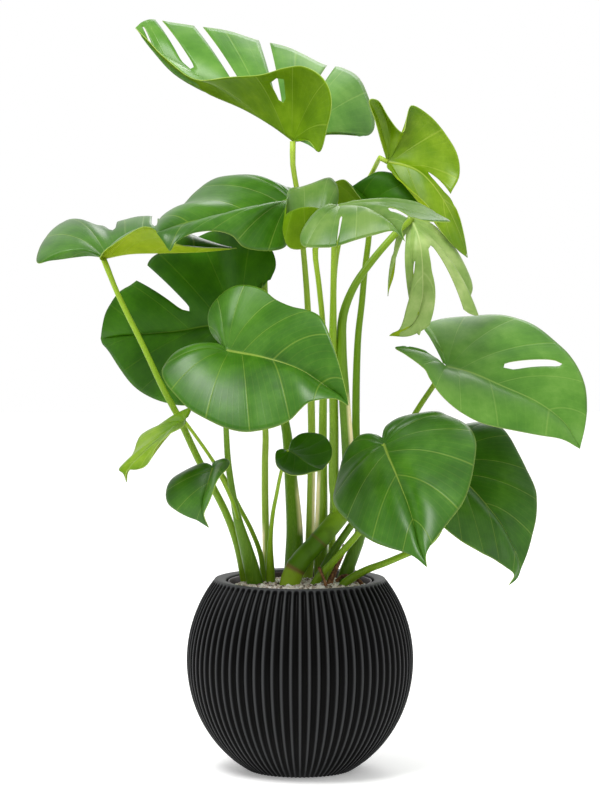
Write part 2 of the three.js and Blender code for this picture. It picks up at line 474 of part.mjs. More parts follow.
function bladeGeometry(leaf, thickness, spread = 0) {
  const large = leaf.length > LARGE_LEAF;
  const rows = leaf.slits.length ? [0, 0.25, 0.45, 0.7, 0.85, 1] : large ? [0, 0.35, 0.7, 1] : [0, 0.5, 1];
  const columns = bladeColumns(leaf, large ? 0.09 : 0.125);
  const curves = bladeCurves(leaf);
  const points = [];
  const index = new Map();
  // both halves share the midrib and the line out to the drip tip
  const pointAt = (column, row, side) => {
    const shared = row === 0 || column === columns.length - 1;
    const key = `${column},${row},${shared ? 0 : side}`;
    if (!index.has(key)) {
      index.set(key, points.length);
      const s = rows[row];
      points.push(bladePlace(leaf, curves, columns[column].edge(s), s, shared ? 1 : side));
    }
    return index.get(key);
  };
  const faces = [];
  for (const side of [1, -1]) {
    for (let column = 0; column + 1 < columns.length; column++) {
      for (let row = 0; row + 1 < rows.length; row++) {
        const { slit } = columns[column];
        const open = slit && (slit.half === 'both' || (slit.half === 'left') === (side > 0))
          && rows[row] >= slit.inner - 1e-6 && rows[row + 1] <= slit.outer + 1e-6;
        if (open) continue;
        const corners = [[column, row], [column + 1, row], [column + 1, row + 1], [column, row + 1]];
        const [a, b, c, d] = corners.map(([i, j]) => pointAt(i, j, side));
        faces.push(...(side > 0 ? [[a, b, c], [a, c, d]] : [[a, c, b], [a, d, c]]));
      }
    }
  }
  return thicken(points, faces, thickness, spread);
}

// Gives a sheet its thickness: the same triangles above and below, and a wall along every open edge, which
// spread moves outwards.
function thicken(points, faces, thickness, spread) {
  const normals = points.map(() => new THREE.Vector3());
  const edges = new Map();
  for (const [a, b, c] of faces) {
    const normal = points[b].clone().sub(points[a]).cross(points[c].clone().sub(points[a]));
    for (const corner of [a, b, c]) normals[corner].add(normal);
    for (const [from, to] of [[a, b], [b, c], [c, a]]) edges.set(`${from},${to}`, [from, to]);
  }
  const count = points.length;
  const rims = [...edges.values()].filter(([from, to]) => !edges.has(`${to},${from}`));
  const outwards = points.map(() => new THREE.Vector3());
  for (const [from, to] of rims) {
    for (const corner of [from, to]) {
      outwards[corner].add(points[to].clone().sub(points[from]).cross(normals[corner]).normalize());
    }
  }
  const middle = points.map((point, i) => point.clone().addScaledVector(outwards[i].normalize(), spread));
  const top = middle.map((point, i) => point.clone().addScaledVector(normals[i].normalize(), thickness / 2));
  const bottom = middle.map((point, i) => point.clone().addScaledVector(normals[i], -thickness / 2));
  const triangles = [];
  for (const [a, b, c] of faces) triangles.push(a, b, c, count + a, count + c, count + b);
  for (const [from, to] of rims) triangles.push(from, count + from, count + to, from, count + to, to);
  return geometryOf([...top, ...bottom], triangles);
}

for (const leaf of LEAVES) addPiece(`blade_${leaf.name}`, bladeGeometry(leaf, BLADE_THICKNESS), leaf.colour);

// ---------------------------------------------------------------- main stem, petioles and roots
// The thick creeping stem leaves the granulate at a cut, green stub and climbs to the right.
const MAIN_STEM = [[-13, -12, ROOT_DEPTH_Z], [-13, -12, 238], [-8, -10, 254], [2, -8, 270], [20, -4, 289],
  [50, 2, 324], [60, 4, 337]];
const MAIN_STEM_RADIUS = 13.5;

function stemRadiusAt(way) {
  return MAIN_STEM_RADIUS - 1.5 * way;
}

function petioleRadiusAt(atBlade, atFoot, sheath) {
  return (way) => {
    const slim = THREE.MathUtils.lerp(atBlade, Math.min(atFoot, atBlade * 1.5), way);
    return THREE.MathUtils.lerp(slim, atFoot, THREE.MathUtils.smoothstep(way, 1 - sheath, 1));
  };
}

const grown = (radiusAt) => (way) => radiusAt(way) + GAP;
const main_stem = toSolid(taperedTube(MAIN_STEM, stemRadiusAt, { sides: 12, step: 18 }));
const main_stem_room = toSolid(taperedTube(
  [...MAIN_STEM].reverse(), (way) => grown(stemRadiusAt)(1 - way), { sides: 12, step: 18, higher: GAP, deeper: GAP },
));
addPiece('main_stem', main_stem, dark_stem_green);

const rooms = [main_stem_room];
const petiole_rooms = {};
for (const [name, atBlade, atFoot, sheath, line] of PETIOLES) {
  const radiusAt = petioleRadiusAt(atBlade, atFoot, sheath);
  const leaf = LEAVES.find((blade) => blade.name === name);
  const blade_room = toSolid(bladeGeometry(leaf, BLADE_THICKNESS + 2 * GAP, 2 * GAP));
  const notch_room = wasm.Manifold.sphere(NOTCH_ROOM * atBlade, 12).translate(line[0]);
  const petiole = toSolid(taperedTube(line, radiusAt)).subtract(blade_room).subtract(notch_room)
    .asOriginal().simplify(GAP / 2).subtract(main_stem_room);
  petiole_rooms[name] = toSolid(taperedTube(line, grown(radiusAt), { deeper: GAP }));
  rooms.push(petiole_rooms[name]);
  const host = name === 'small_left_leaf' ? petiole_rooms.heart_leaf : null;
  addPiece(`petiole_${name}`, largestBody(host ? petiole.subtract(host) : petiole), petiole_green);
}

// [name, radius, flatness, line]
const ROOTS = [
  ['aerial_root_left', 2.4, 1, [[24, -20, 262], [29, -24, 250], [33, -28, 238], [34, -29, ROOT_DEPTH_Z + 8]]],
  ['aerial_root_right', 2.6, 1, [[46, 9, 240], [56, 7, 247], [70, 6, 245], [79, 7, 236], [81, 7, 222]]],
  ['dry_sheath', 4.6, 0.25, [[58, -3, 288], [48, -5, 263], [38, -7, 240], [36, -7, ROOT_DEPTH_Z + 8]]],
];
for (const [name, radius, flat, line] of ROOTS) {
  const radiusAt = (way) => radius * (0.8 + 0.2 * way);
  addPiece(name, taperedTube(line, radiusAt, { sides: 6, step: 12, flat }), root_brown);
  rooms.push(toSolid(taperedTube(line, grown(radiusAt), { sides: 6, step: 12, flat, deeper: GAP })));
}

// ---------------------------------------------------------------- water gauge
const gauge_line = [[...GAUGE_PLACE, GAUGE_TOP_Z], [...GAUGE_PLACE, 250], [...GAUGE_PLACE, ROOT_DEPTH_Z + 4]];
addPiece('water_gauge', taperedTube(gauge_line, () => GAUGE_RADIUS, { sides: 12, step: 40 }), gauge_plastic);
rooms.push(toSolid(taperedTube(gauge_line, () => GAUGE_RADIUS + GAP, { sides: 12, step: 40, deeper: GAP })));

// ---------------------------------------------------------------- granulate
// A repeatable draw for the grains' heights.
function seededDraw(seed) {
  let state = seed;
  return () => {
    state = (state * 1664525 + 1013904223) % 4294967296;
    return state / 4294967296;
  };
}

function granulateBody() {
  const draw = seededDraw(77);
  const floor = liner_floor + GAP;
  const clear = LINER_WALL + 2 * GAP;
  const edge = linerRadiusAt(SUBSTRATE_EDGE_Z) - clear;
  const ring = (radius, z, relief) => Array.from({ length: SUBSTRATE_SIDES }, (_, i) => {
    const angle = (2 * Math.PI * i) / SUBSTRATE_SIDES;
    const lift = relief * (2 * draw() - 1);
    return new THREE.Vector3(radius * Math.cos(angle), radius * Math.sin(angle), z + lift);
  });
  const rings = [ring(linerRadiusAt(floor) - clear, floor, 0), ring(edge, SUBSTRATE_EDGE_Z, 0)];
  for (let i = 1; i < SUBSTRATE_RINGS; i++) {
    const way = i / SUBSTRATE_RINGS;
    const crown = SUBSTRATE_CROWN * Math.sin((Math.PI / 2) * way);
    rings.push(ring(edge * (1 - way), SUBSTRATE_EDGE_Z + crown, SUBSTRATE_RELIEF));
  }
  return toSolid(loft(rings));
}

let granulate = granulateBody();
for (const room of rooms) granulate = granulate.subtract(room);
addPiece('granulate', largestBody(granulate), pale_granulate);

export default plant;
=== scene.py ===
import math
import random

import bmesh
import bpy
from mathutils import Euler, Matrix, Vector, noise


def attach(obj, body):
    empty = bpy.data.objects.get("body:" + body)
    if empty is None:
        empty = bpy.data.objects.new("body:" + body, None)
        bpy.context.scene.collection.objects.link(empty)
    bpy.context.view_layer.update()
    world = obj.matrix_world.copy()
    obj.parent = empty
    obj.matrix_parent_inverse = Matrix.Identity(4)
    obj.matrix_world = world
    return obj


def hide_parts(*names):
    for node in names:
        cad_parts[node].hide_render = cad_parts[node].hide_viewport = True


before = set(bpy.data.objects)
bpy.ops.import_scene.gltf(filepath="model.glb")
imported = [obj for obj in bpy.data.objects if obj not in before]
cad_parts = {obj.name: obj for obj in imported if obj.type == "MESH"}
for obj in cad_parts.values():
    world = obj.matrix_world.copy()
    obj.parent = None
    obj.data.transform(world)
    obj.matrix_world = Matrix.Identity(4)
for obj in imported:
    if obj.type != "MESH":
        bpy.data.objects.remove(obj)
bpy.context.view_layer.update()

# ---------------------------------------------------------------- view and light
# The plant stands on a plain white floor in a soft studio light: a wide overhead soft box to the front left,
# fainter ones to the right and behind, and a white surround. The camera stands level with the upper leaves.
CAMERA_PLACE = Vector((0.0, -4.0, 0.761))
CAMERA_AIM = Vector((0.0, 0.0, 0.473))
CAMERA_LENS = 141.9

scene = bpy.context.scene
scene.view_settings.view_transform = "Standard"


def aim(thing, target):
    thing.rotation_euler = (Vector(target) - thing.location).to_track_quat("-Z", "Y").to_euler()


camera_data = bpy.data.cameras.new("camera")
camera_data.lens = CAMERA_LENS
camera_data.clip_end = 50
camera = bpy.data.objects.new("camera", camera_data)
camera.location = CAMERA_PLACE
aim(camera, CAMERA_AIM)
scene.collection.objects.link(camera)
scene.camera = camera


def soft_box(name, place, target, width, power):
    lamp = bpy.data.lights.new(name, "AREA")
    lamp.shape = "SQUARE"
    lamp.size = width
    lamp.energy = power
    box = bpy.data.objects.new(name, lamp)
    box.location = place
    aim(box, target)
    scene.collection.objects.link(box)


soft_box("overhead_soft_box", (-0.9, -1.2, 2.8), (0, 0, 0.6), 1.2, 75)
soft_box("fill_soft_box", (2.4, -2.0, 1.4), (0, 0, 0.5), 1.4, 10)
soft_box("back_soft_box", (0.6, 2.2, 2.2), (0, 0, 0.6), 1.4, 20)


def linear(hex_colour):
    channels = [int(hex_colour[i:i + 2], 16) / 255 for i in (1, 3, 5)]
    return tuple(c / 12.92 if c <= 0.04045 else ((c + 0.055) / 1.055) ** 2.4 for c in channels) + (1.0,)


def add_node(material, kind, settings=None, **links):
    """Adds a node with its settings, and links or sets its sockets by name, or by number as i0."""
    node = material.node_tree.nodes.new(kind)
    for name, value in (settings or {}).items():
        setattr(node, name, value)
    for name, value in links.items():
        key = int(name[1:]) if name[0] == "i" and name[1:].isdigit() else name.replace("_", " ")
        if isinstance(value, bpy.types.NodeSocket):
            material.node_tree.links.new(value, node.inputs[key])
        else:
            node.inputs[key].default_value = value
    return node


def new_material(name, roughness, **sockets):
    """A material with its surface values set straight on the shader's sockets."""
    material = bpy.data.materials.new(name)
    material.use_nodes = True
    shader = material.node_tree.nodes["Principled BSDF"]
    shader.inputs["Roughness"].default_value = roughness
    for key, value in sockets.items():
        shader.inputs[key.replace("_", " ")].default_value = value
    return material, shader


def link(material, output, socket):
    material.node_tree.links.new(output, socket)


# The surround is a white backdrop behind the plant and overhead; the room in front of it is a little darker,
# so that the leaves' undersides and the sides that face the camera fall off gently.
world = bpy.data.worlds.new("studio")
world.use_nodes = True
world_backdrop = world.node_tree.nodes["Background"]
world_backdrop.inputs["Color"].default_value = (1, 1, 1, 1)
world_way = add_node(world, "ShaderNodeTexCoord")
world_parts = add_node(world, "ShaderNodeSeparateXYZ", Vector=world_way.outputs["Generated"])
world_light = add_node(world, "ShaderNodeMapRange", Value=world_parts.outputs["Y"], From_Min=-0.4,
                       From_Max=0.8, To_Min=0.8, To_Max=1.0)
link(world, world_light.outputs["Result"], world_backdrop.inputs["Strength"])
scene.world = world


def ramp(material, factor, *stops):
    """A colour ramp through (place, colour) stops, each colour an sRGB hex value or a grey from 0 to 1."""
    node = add_node(material, "ShaderNodeValToRGB", Fac=factor)
    elements = node.color_ramp.elements
    while len(elements) < len(stops):
        elements.new(0.5)
    for element, (place, colour) in zip(elements, stops):
        element.position = place
        element.color = linear(colour) if isinstance(colour, str) else (colour, colour, colour, 1)
    return node.outputs["Color"]


def finish_piece(name, shape, materials, slot, *nodes, smooth=True):
    """Turns a bmesh into an object that rides on the part and stands for its CAD nodes."""
    mesh = bpy.data.meshes.new(name)
    for face in shape.faces:
        face.smooth = smooth
    shape.to_mesh(mesh)
    shape.free()
    piece = bpy.data.objects.new(name, mesh)
    for material in materials:
        mesh.materials.append(material)
    scene.collection.objects.link(piece)
    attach(piece, "root")
    if nodes:
        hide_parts(*nodes)
    return piece


# White painted studio floor, slightly clouded. A faint glow of its own keeps it as white as the backdrop.
floor_shape = bmesh.new()
bmesh.ops.create_grid(floor_shape, x_segments=2, y_segments=2, size=6)
floor_mesh = bpy.data.meshes.new("floor")
floor_shape.to_mesh(floor_mesh)
floor_shape.free()
floor = bpy.data.objects.new("floor", floor_mesh)
floor.location = (0, 0, -0.0005)
floor_paint, floor_shader = new_material("white_studio_floor", 0.6, Emission_Color=(1, 1, 1, 1),
                                         Emission_Strength=0.22)
floor_paint_noise = add_node(floor_paint, "ShaderNodeTexNoise", Scale=3.0)
link(floor_paint, ramp(floor_paint, floor_paint_noise.outputs["Fac"], (0.3, "#fbfbfa"),
                       (0.7, "#fdfdfc")), floor_shader.inputs["Base Color"])
floor_mesh.materials.append(floor_paint)
scene.collection.objects.link(floor)

# ---------------------------------------------------------------- planter
# A rotation-moulded ball of matt black plastic. Fine flat-topped ribs run from the foot to a smooth lip.
# It is open at the top and hollow, with an even wall.
PLANTER_RADIUS = 0.145
PLANTER_HEIGHT = 0.245
PLANTER_WIDEST = 0.140
PLANTER_CURVE = 0.158
PLANTER_OPENING = 0.0945
PLANTER_FLOOR = 0.009
PLANTER_WALL = 0.0104  # from the crest of a rib to the hollow
PLANTER_ROWS = 44
HOLLOW_TOP_Z = 0.236
LIP_DROP = 0.0012
RIB_COUNT = 77
RIB_DEPTH = 0.0030
RIB_STEPS = 8  # points across one rib and its groove
RIB_PROFILE = (0.12, 0.0, 0.12, 0.55, 1.0, 1.0, 1.0, 0.55)  # 0 on the crest, 1 in the groove


def planter_radius(z):
    return PLANTER_RADIUS * math.sqrt(1 - ((z - PLANTER_WIDEST) / PLANTER_CURVE) ** 2)


def lathe(shape, profile, steps, turn=0.0):
    """Spins a profile of (radius, height) points all the way round Z, and closes it."""
    verts = [shape.verts.new((radius, 0, z)) for radius, z in profile]
    edges = [shape.edges.new(pair) for pair in zip(verts, verts[1:])]
    bmesh.ops.rotate(shape, verts=verts, cent=(0, 0, 0), matrix=Matrix.Rotation(turn, 3, "Z"))
    bmesh.ops.spin(shape, geom=verts + edges, cent=(0, 0, 0), axis=(0, 0, 1), angle=2 * math.pi, steps=steps,
                   use_merge=True)
    bmesh.ops.remove_doubles(shape, verts=shape.verts, dist=1e-6)
    bmesh.ops.recalc_face_normals(shape, faces=shape.faces)


outer_heights = [PLANTER_HEIGHT * (1 - math.cos(math.pi * row / PLANTER_ROWS)) / 2
                 for row in range(PLANTER_ROWS)]
outer_profile = [(planter_radius(z), z) for z in outer_heights]
lip_outer = planter_radius(PLANTER_HEIGHT)
lip_profile = [(lip_outer + 0.0004, PLANTER_HEIGHT - 0.0016), (lip_outer - 0.0002, PLANTER_HEIGHT - 0.0005),
               (lip_outer - 0.0014, PLANTER_HEIGHT), (PLANTER_OPENING + 0.002, PLANTER_HEIGHT - LIP_DROP),
               (PLANTER_OPENING + 0.0006, PLANTER_HEIGHT - LIP_DROP - 0.0004),
               (PLANTER_OPENING, PLANTER_HEIGHT - LIP_DROP - 0.002)]
inner_heights = (0.218, 0.2, 0.175, 0.15, 0.12, 0.09, 0.06, 0.03, PLANTER_FLOOR)
inner_profile = [(PLANTER_OPENING, HOLLOW_TOP_Z)]
inner_profile += [(planter_radius(z) - PLANTER_WALL, z) for z in inner_heights]
planter_shape = bmesh.new()
lathe(planter_shape, [(0, 0)] + outer_profile + lip_profile + inner_profile + [(0, PLANTER_FLOOR)],
      RIB_COUNT * RIB_STEPS, turn=-math.pi / 2 - 2 * math.pi / RIB_COUNT / RIB_STEPS)
groove_mark = planter_shape.verts.layers.float.new("groove")
for vert in planter_shape.verts:
    radius = math.hypot(vert.co.x, vert.co.y)
    on_skin = radius > 0.02 and abs(radius - planter_radius(min(vert.co.z, PLANTER_HEIGHT))) < 0.0005
    if not on_skin or vert.co.z > PLANTER_HEIGHT - 0.001:
        continue
    angle = (math.atan2(vert.co.y, vert.co.x) + math.pi / 2) / (2 * math.pi)
    step = round(angle * RIB_COUNT * RIB_STEPS + 1) % RIB_STEPS
    fade = min(1.0, max(0.0, (PLANTER_HEIGHT - 0.0022 - vert.co.z) / 0.002))
    depth = RIB_PROFILE[step] * fade
    vert[groove_mark] = depth
    vert.co.x *= 1 - depth * RIB_DEPTH / radius
    vert.co.y *= 1 - depth * RIB_DEPTH / radius

# Matt black polypropylene, moulded: a painted grey sheen lightens the crests, painted shade keeps the
# grooves near black. The grain is a fine spark-eroded texture of about 0.4 mm.
matt_black_plastic, shader = new_material("matt_black_moulded_plastic", 0.4, IOR=1.46,
                                          Specular_IOR_Level=0.06)
groove = add_node(matt_black_plastic, "ShaderNodeAttribute", {"attribute_name": "groove"})
black_place = add_node(matt_black_plastic, "ShaderNodeTexCoord")
black_grain = add_node(matt_black_plastic, "ShaderNodeTexNoise", Vector=black_place.outputs["Object"],
                       Scale=2500.0, Detail=2.0)
# The base colour runs from painted sheen, light grey, on the crests to painted shade, near black, in the
# grooves.
link(matt_black_plastic, ramp(matt_black_plastic, groove.outputs["Fac"], (0.0, "#393a3b"),
                              (0.25, "#101011"), (0.6, "#000000")), shader.inputs["Base Color"])
black_bump = add_node(matt_black_plastic, "ShaderNodeBump", Strength=0.15, Distance=0.0002,
                      Height=black_grain.outputs["Fac"])
link(matt_black_plastic, black_bump.outputs["Normal"], shader.inputs["Normal"])
finish_piece("ribbed_planter", planter_shape, [matt_black_plastic], "planter", "planter")

# ---------------------------------------------------------------- culture pot
# A thin pot of dark aubergine plastic, blow-moulded, that stands in the planter. Only its rolled rim shows.
LINER_FOOT_Z = 0.0093
LINER_TOP_Z = 0.242
LINER_TOP_RADIUS = 0.092
LINER_FOOT_RADIUS = 0.062
LINER_WALL = 0.002
LINER_ROWS = 12
LINER_SIDES = 96


def liner_radius(z):
    way = (z - LINER_FOOT_Z) / (LINER_TOP_Z - LINER_FOOT_Z)
    return LINER_FOOT_RADIUS + (LINER_TOP_RADIUS - LINER_FOOT_RADIUS) * way


liner_shape = bmesh.new()
liner_rows = [LINER_FOOT_Z + (LINER_TOP_Z - 0.001 - LINER_FOOT_Z) * row / LINER_ROWS
              for row in range(LINER_ROWS + 1)]
liner_inner = [z for z in reversed(liner_rows) if z > LINER_FOOT_Z + LINER_WALL]
lathe(liner_shape, [(0, LINER_FOOT_Z)] + [(liner_radius(z), z) for z in liner_rows]
      + [(LINER_TOP_RADIUS - 0.0004, LINER_TOP_Z), (LINER_TOP_RADIUS - 0.0014, LINER_TOP_Z)]
      + [(liner_radius(z) - LINER_WALL, z) for z in liner_inner]
      + [(liner_radius(LINER_FOOT_Z + LINER_WALL) - LINER_WALL, LINER_FOOT_Z + LINER_WALL),
         (0, LINER_FOOT_Z + LINER_WALL)], LINER_SIDES)
# Dark aubergine polyethylene, blow-moulded: a dull sheen over faint clouds of red and black.
aubergine_plastic, shader = new_material("aubergine_blow_moulded_plastic", 0.45, IOR=1.49)
liner_place = add_node(aubergine_plastic, "ShaderNodeTexCoord")
liner_mottle = add_node(aubergine_plastic, "ShaderNodeTexNoise", Vector=liner_place.outputs["Object"],
                        Scale=60.0)
link(aubergine_plastic, ramp(aubergine_plastic, liner_mottle.outputs["Fac"], (0.3, "#2a1a22"),
                             (0.7, "#3a2831")), shader.inputs["Base Color"])
finish_piece("culture_pot_liner", liner_shape, [aubergine_plastic], "culture_pot", "culture_pot")

# ---------------------------------------------------------------- granulate
# Loose mineral granulate of pumice, lava and zeolite, 2.5 to 6 mm, poured around the stems up to just below
# the pot's rim. A bed carries a layer of single grains, in pale grey, beige and a few dark ones.
BED_EDGE_Z = 0.2335
BED_CROWN = 0.0045
BED_RADIUS = 0.0882
BED_FLOOR_Z = 0.0116
BED_FLOOR_RADIUS = 0.0595
BED_SINK = 0.0015  # from the middle of the grains down to the bed
BED_ROWS = 14
BED_SIDES = 72
GRAIN_COUNT = 3400
GRAIN_SIZES = (0.0026, 0.0034, 0.0042, 0.0050, 0.0060)
grain_draw = random.Random(31)


def bed_height(x, y):
    way = min(1.0, math.hypot(x, y) / BED_RADIUS)
    return BED_EDGE_Z + BED_CROWN * math.cos(way * math.pi / 2)


bed_shape = bmesh.new()
bed_ways = [1 - row / BED_ROWS for row in range(BED_ROWS)]
bed_rows = [(BED_RADIUS * way, bed_height(BED_RADIUS * way, 0) - BED_SINK) for way in bed_ways]
lathe(bed_shape, [(0, BED_FLOOR_Z), (BED_FLOOR_RADIUS, BED_FLOOR_Z), (BED_RADIUS, BED_EDGE_Z - 0.003)]
      + bed_rows + [(0, bed_height(0, 0) - BED_SINK)], BED_SIDES)
for vert in bed_shape.verts:
    if vert.co.z > BED_EDGE_Z - 0.0025:
        vert.co.z += 0.0012 * noise.noise(vert.co * 220)


def granulate_material(name, *shades):
    """Rough mineral grains: each grain takes one of the shades, with a fine pitted surface."""
    material, shader = new_material(name, 0.9, IOR=1.5)
    place = add_node(material, "ShaderNodeTexCoord")
    pick = add_node(material, "ShaderNodeAttribute", {"attribute_name": "shade"})
    mottle = add_node(material, "ShaderNodeTexNoise", Vector=place.outputs["Object"], Scale=900.0, Detail=3.0)
    tone = ramp(material, pick.outputs["Fac"], *shades)
    fleck = ramp(material, mottle.outputs["Fac"], (0.35, 0.55), (0.6, 1.0))
    mixed = add_node(material, "ShaderNodeMix", {"data_type": "RGBA", "blend_type": "MULTIPLY"}, i0=0.6,
                     i6=tone, i7=fleck)
    link(material, mixed.outputs[2], shader.inputs["Base Color"])
    bump = add_node(material, "ShaderNodeBump", Strength=0.5, Distance=0.0004, Height=mottle.outputs["Fac"])
    link(material, bump.outputs["Normal"], shader.inputs["Normal"])
    return material


mineral_grains = granulate_material("pumice_and_lava_granulate", (0.0, "#4a3f3a"),
                                    (0.12, "#8f7c70"), (0.28, "#c9b8ac"), (0.5, "#e0d4cc"),
                                    (0.75, "#efe8e4"), (1.0, "#fbfafa"))


def add_grain(shape, layer, place, size, shade):
    """One grain: a small ball knocked out of true, squashed and turned at random."""
    made = bmesh.ops.create_icosphere(shape, subdivisions=1, radius=0.5)
    stretch = Vector([size * grain_draw.uniform(0.75, 1.25) for _ in range(3)])
    turn = Euler([grain_draw.uniform(0, math.tau) for _ in range(3)]).to_matrix()
    for vert in made["verts"]:
        knock = 1 + 0.18 * grain_draw.uniform(-1, 1)
        vert.co = turn @ Vector([c * k for c, k in zip(vert.co * knock, stretch)]) + place
        vert[layer] = shade


grain_shape = bmesh.new()
grain_layer = grain_shape.verts.layers.float.new("shade")
for _ in range(GRAIN_COUNT):
    reach = (BED_RADIUS - 0.003) * math.sqrt(grain_draw.random())
    angle = grain_draw.uniform(0, math.tau)
    size = grain_draw.choice(GRAIN_SIZES)
    x = reach * math.cos(angle)
    y = reach * math.sin(angle)
    lift = grain_draw.uniform(-0.0012, 0.0016)
    grain_place = Vector((x, y, bed_height(x, y) - 0.0008 + lift))
    add_grain(grain_shape, grain_layer, grain_place, size, grain_draw.random())
finish_piece("granulate_bed", bed_shape, [mineral_grains], "granulate", "granulate")
finish_piece("granulate_grains", grain_shape, [mineral_grains], "granulate", smooth=False)

# ---------------------------------------------------------------- petioles
# Each leaf hangs on its own petiole: a smooth fleshy stalk, paler towards the blade, that bends in a
# thickened knee below it. Its foot is a sheath that clasped the stem, and carries a dry, papery edge.
PETIOLE_SIDES = 24
LINE_STEPS = 400  # in which a middle line is measured
KNEE = 0.16  # how much thicker the stalk is just below the blade
GROUND_Z = 214
MM = 0.001
SHEATH_PAPER = "#e3d9a4"


def centripetal(points, way):
    """A place on the smooth line through points; way runs from 0 to 1 over its stretches."""
    spans = len(points) - 1
    at = min(max(way, 0.0), 1.0) * spans
    i = min(int(at), spans - 1)
    w = at - i
    p1, p2 = points[i], points[i + 1]
    p0 = points[i - 1] if i > 0 else p1 * 2 - p2
    p3 = points[i + 2] if i + 2 <= spans else p2 * 2 - p1
    dt0, dt1, dt2 = [max((b - a).length ** 0.5, 1e-4) for a, b in ((p0, p1), (p1, p2), (p2, p3))]
    t1 = ((p1 - p0) / dt0 - (p2 - p0) / (dt0 + dt1) + (p2 - p1) / dt1) * dt1
    t2 = ((p2 - p1) / dt1 - (p3 - p1) / (dt1 + dt2) + (p3 - p2) / dt2) * dt1
    a = 2 * p1 - 2 * p2 + t1 + t2
    b = -3 * p1 + 3 * p2 - 2 * t1 - t2
    return a * w ** 3 + b * w ** 2 + t1 * w + p1


def even_line(points, steps):
    """The smooth line through points, cut into equal steps along its length."""
    fine = [centripetal(points, i / LINE_STEPS) for i in range(LINE_STEPS + 1)]
    reach = [0.0]
    for a, b in zip(fine, fine[1:]):
        reach.append(reach[-1] + (b - a).length)
    places = []
    j = 0
    for i in range(steps + 1):
        goal = reach[-1] * i / steps
        while j < LINE_STEPS - 1 and reach[j + 1] < goal:
            j += 1
        part = (goal - reach[j]) / max(reach[j + 1] - reach[j], 1e-9)
        places.append(fine[j].lerp(fine[j + 1], part))
    return places


def sweep(shape, places, radius_at, sides, outline=None):
    """Pushes a ring along places without twist. outline(way, angle) scales the radius. Adds a UV map whose
    first number goes round and the second along."""
    uv_layer = shape.loops.layers.uv.verify()
    heading = (places[1] - places[0]).normalized()
    side = heading.orthogonal().normalized()
    steps = len(places) - 1
    ring = None
    first = None
    for i, place in enumerate(places):
        ahead = (places[min(i + 1, steps)] - places[max(i - 1, 0)]).normalized()
        side = (side - ahead * side.dot(ahead)).normalized()
        other = ahead.cross(side)
        way = i / steps
        if ring is None:
            made = bmesh.ops.create_circle(shape, cap_ends=False, segments=sides, radius=1.0)
            new_ring = made["verts"]
        else:
            edges = [shape.edges.get((ring[k], ring[(k + 1) % sides])) for k in range(sides)]
            made = bmesh.ops.extrude_edge_only(shape, edges=edges)
            new_verts = {v for v in made["geom"] if isinstance(v, bmesh.types.BMVert)}
            new_ring = []
            for vert in ring:
                others = [edge.other_vert(vert) for edge in vert.link_edges]
                new_ring.append(next(other for other in others if other in new_verts))
        for k, vert in enumerate(new_ring):
            angle = math.tau * k / sides
            r = radius_at(way) * (outline(way, angle) if outline else 1)
            vert.co = place + (side * math.cos(angle) + other * math.sin(angle)) * r
        if ring is None:
            first = list(new_ring)
        else:
            for k in range(sides):
                a, b = ring[k], ring[(k + 1) % sides]
                c, d = new_ring[(k + 1) % sides], new_ring[k]
                face = next(f for f in a.link_faces if b in f.verts and c in f.verts)
                where = {a: (k / sides, (i - 1) / steps), b: ((k + 1) / sides, (i - 1) / steps),
                         c: ((k + 1) / sides, way), d: (k / sides, way)}
                for loop in face.loops:
                    loop[uv_layer].uv = where[loop.vert]
        ring = new_ring
    for end in (first, ring):
        face = shape.faces.new(end)
        bmesh.ops.poke(shape, faces=[face])
    return shape


# A living stalk: cellulose and water under a smooth cuticle. It is pale yellow-green near the blade and
# deeper green at the foot, with faint lengthwise streaks and small pale flecks.
def petiole_material(name, top, middle, foot, streak):
    material, shader = new_material(name, 0.4, IOR=1.42, Specular_IOR_Level=0.3, Subsurface_Weight=0.08,
                                    Subsurface_Scale=0.002)
    shader.inputs["Subsurface Radius"].default_value = (0.6, 1.0, 0.2)
    uv = add_node(material, "ShaderNodeUVMap")
    parts = add_node(material, "ShaderNodeSeparateXYZ", Vector=uv.outputs["UV"])
    along = ramp(material, parts.outputs["Y"], (0.0, top), (0.35, middle), (1.0, foot))
    place = add_node(material, "ShaderNodeTexCoord")
    stretched = add_node(material, "ShaderNodeMapping", Vector=place.outputs["Object"], Scale=(900, 900, 40))
    lines = add_node(material, "ShaderNodeTexNoise", Vector=stretched.outputs["Vector"], Scale=1.0,
                     Detail=2.0)
    mask = ramp(material, lines.outputs["Fac"], (0.45, 0), (0.85, 0.45))
    mixed = add_node(material, "ShaderNodeMix", {"data_type": "RGBA"}, i0=mask, i6=along, i7=linear(streak))
    papery = add_node(material, "ShaderNodeAttribute", {"attribute_name": "papery"})
    mixed = add_node(material, "ShaderNodeMix", {"data_type": "RGBA"}, i0=papery.outputs["Fac"],
                     i6=mixed.outputs[2], i7=linear(SHEATH_PAPER))
    link(material, mixed.outputs[2], shader.inputs["Base Color"])
    bump = add_node(material, "ShaderNodeBump", Strength=0.08, Distance=0.0003, Height=lines.outputs["Fac"])
    link(material, bump.outputs["Normal"], shader.inputs["Normal"])
    return material


pale_petiole = petiole_material("pale_petiole_skin", "#95af33", "#85a42c", "#7e9c29",
                                "#a7bc58")
green_petiole = petiole_material("green_petiole_skin", "#8dab22", "#769918", "#658a0f",
                                 "#95ad3d")
deep_petiole = petiole_material("deep_green_petiole_skin", "#7d9c1f", "#5f840e", "#476e07",
                                "#79992c")

